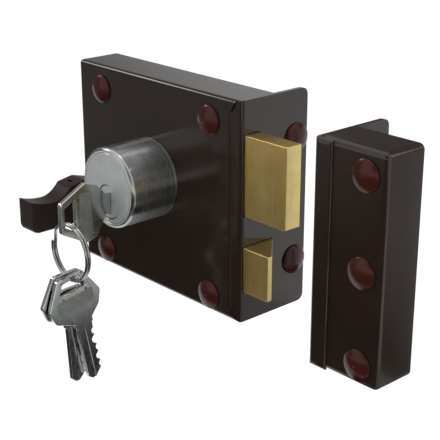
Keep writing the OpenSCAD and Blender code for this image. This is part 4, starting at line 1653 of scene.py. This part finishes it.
@dataclass
class Studio:
    """Pale floor, soft lamps and the camera at the photograph's angle.

    Attributes:
        azimuth: Camera's direction round the object, in degrees from the front.
        elevation: Camera's height above the horizon in degrees.
        distance: Camera's distance from its target in mm.
        target: Point that the camera looks at, in mm.
        picture: Width of the picture in pixels.
        focal: Focal length in those pixels.
        surround: Brightness of the surround where it lights the object.
        floor_drop: Depth of the floor below the object in mm.
        floor_half: Half of the floor's side in mm.
        paper: Colour of the floor.
        glow: Brightness of the floor's white.
        white: Share of that white where the floor is seen, the rest being paper with the shadow on it.
        aim: Point that the lamps face, in mm.
        cards: Glowing sheets round the object, which only gloss shows: painted reflections.
        lamps: Lamps round the object.
    """

    azimuth: float = 47.77
    elevation: float = 20.22
    distance: float = 505.7
    target: Solid = (45.3, -20.0, -3.5)
    picture: int = 440
    focal: float = 1126.3
    surround: float = 0.5
    floor_drop: float = 60.0
    floor_half: float = 6000.0
    paper: str = "#F4F4F4"
    glow: float = 1.06
    white: float = 0.9
    aim: Solid = (30.0, -10.0, 0.0)
    # Painted reflections: glowing sheets, dark and pale, that only glossy surfaces mirror
    cards: tuple[ReflectionCard, ...] = (
        ReflectionCard("front_card", (-1100.0, -900.0, -138.0), (1750.0, 0.0, 0.0), (0.0, 790.0, 0.0),
             (-0.707, -0.707, 0.0), (320.0, 520.0), (0.03, 0.26)),
        ReflectionCard("side_card", (224.0, 120.0, -138.0), (130.0, 0.0, 0.0), (0.0, 0.0, 220.0),
             (0.0, 0.0, 1.0), (-138.0, -40.0), (0.03, 0.42)),
        ReflectionCard("key_card", (60.0, -90.0, -138.0), (270.0, 0.0, 0.0), (0.0, 240.0, 0.0),
             (1.0, 0.0, 0.0), (150.0, 195.0), (0.02, 0.6)),
        ReflectionCard("back_card", (-800.0, 400.0, 90.0), (510.0, 0.0, 0.0), (0.0, 0.0, 710.0),
             (1.0, 0.0, 0.0), (-620.0, -370.0), (0.34, 0.68)),
        ReflectionCard("dim_card", (-290.0, 400.0, 90.0), (710.0, 0.0, 0.0), (0.0, 0.0, 710.0),
             (1.0, 0.0, 0.0), (-290.0, -250.0), (0.2, 0.1)),
        ReflectionCard("left_card", (-900.0, -1000.0, -138.0), (0.0, 1400.0, 0.0), (0.0, 0.0, 1200.0),
             (0.0, 0.0, 1.0), (0.0, 900.0), (0.2, 0.3)),
        ReflectionCard("right_flag", (90.0, -620.0, 100.0), (900.0, 0.0, 0.0), (0.0, 0.0, 900.0),
             (1.0, 0.0, 0.0), (90.0, 200.0), (0.3, 0.03)),
    )
    lamps: tuple[Lamp, ...] = (
        Lamp("key_lamp", (500.0, -500.0, 700.0), (1300.0, 1300.0), 9.0, mirrored=False),
        Lamp("fill_lamp", (-700.0, -400.0, 500.0), (260.0, 260.0), 1.4),
        Lamp("top_lamp", (-110.0, 150.0, 840.0), (160.0, 160.0), 0.6),
        Lamp("rim_lamp", (300.0, 700.0, 600.0), (700.0, 500.0), 6.0),
    )

    def camera(self) -> None:
        """Sets the camera."""
        a, e = math.radians(self.azimuth), math.radians(self.elevation)
        back = Vector((math.sin(a) * math.cos(e), -math.cos(a) * math.cos(e), math.sin(e)))
        lens = bpy.data.cameras.new("camera")
        lens.sensor_width = 36.0
        lens.lens = self.focal / self.picture * lens.sensor_width
        lens.clip_start, lens.clip_end = 0.01, 100.0
        eye = placed("camera", lens)
        eye.location = (Vector(self.target) + back * self.distance) * MM
        aimed(eye, -back)
        bpy.context.scene.camera = eye

    def white_ray(self, tree: Tree) -> Socket:
        """Gives one for the rays that see the white background and zero for those that light.

        Args:
            tree: Node tree to add to.

        Returns:
            Socket of the value.
        """
        path = add_node(tree, "LightPath").outputs
        seen = path["Is Camera Ray"]
        for other in ("Is Glossy Ray", "Is Transmission Ray"):
            seen = add_node(tree, "Math", {0: seen, 1: path[other]}, operation="MAXIMUM").outputs[0]
        return seen

    def world(self) -> None:
        """Sets an even, soft surround that the camera sees as white."""
        made = bpy.data.worlds.new("studio")
        made.use_nodes = True
        bpy.context.scene.world = made
        tree = made.node_tree
        level = add_node(tree, "MapRange", {"Value": self.white_ray(tree), 3: self.surround, 4: 1.0})
        inputs = {"Color": linear("#FFFFFF"), "Strength": level.outputs["Result"]}
        feed(tree, tree.nodes["Background"], inputs)

    def floor(self) -> None:
        """Lays a pale floor that keeps the object's shadow."""
        low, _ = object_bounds()
        mesh = bmesh.new()
        bmesh.ops.create_grid(mesh, x_segments=2, y_segments=2, size=self.floor_half)
        made = to_object("floor", mesh)
        made.location.z = low.z - self.floor_drop * MM
        paint = new_paint("white_paper_sweep")
        tree = paint.node_tree
        shader = tree.nodes["Principled BSDF"]
        matt = {"Base Color": linear(self.paper), "Roughness": 0.9, "Specular IOR Level": 0.1}
        feed(tree, shader, matt)
        glow = add_node(tree, "Emission", {"Strength": self.glow})
        share = add_node(tree, "Math", {0: self.white_ray(tree), 1: self.white}, operation="MULTIPLY")
        both = {0: share.outputs[0], 1: shader.outputs[0], 2: glow.outputs[0]}
        mixed = add_node(tree, "MixShader", both)
        feed(tree, tree.nodes["Material Output"], {"Surface": mixed.outputs[0]})
        made.data.materials.append(paint)
        made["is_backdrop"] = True

    def build(self) -> None:
        """Sets the whole studio."""
        self.camera()
        self.world()
        self.floor()
        for card in self.cards:
            card.build()
        for lamp in self.lamps:
            lamp.build(self.aim)
        bpy.context.scene.view_settings.view_transform = "Standard"


def main() -> None:
    """Builds the lock piece by piece and reports each."""
    logging.basicConfig(level=logging.INFO, format="%(name)s %(message)s")
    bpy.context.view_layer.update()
    Studio().build()
    case = LockCase()
    case.build()
    KeyCylinder().build()
    BoltWork().build()
    ThumbPull().build()
    KeySet().build()
    Keeper().build(case)
    InnerWork().dress()


if __name__ == "__main__":
    main()
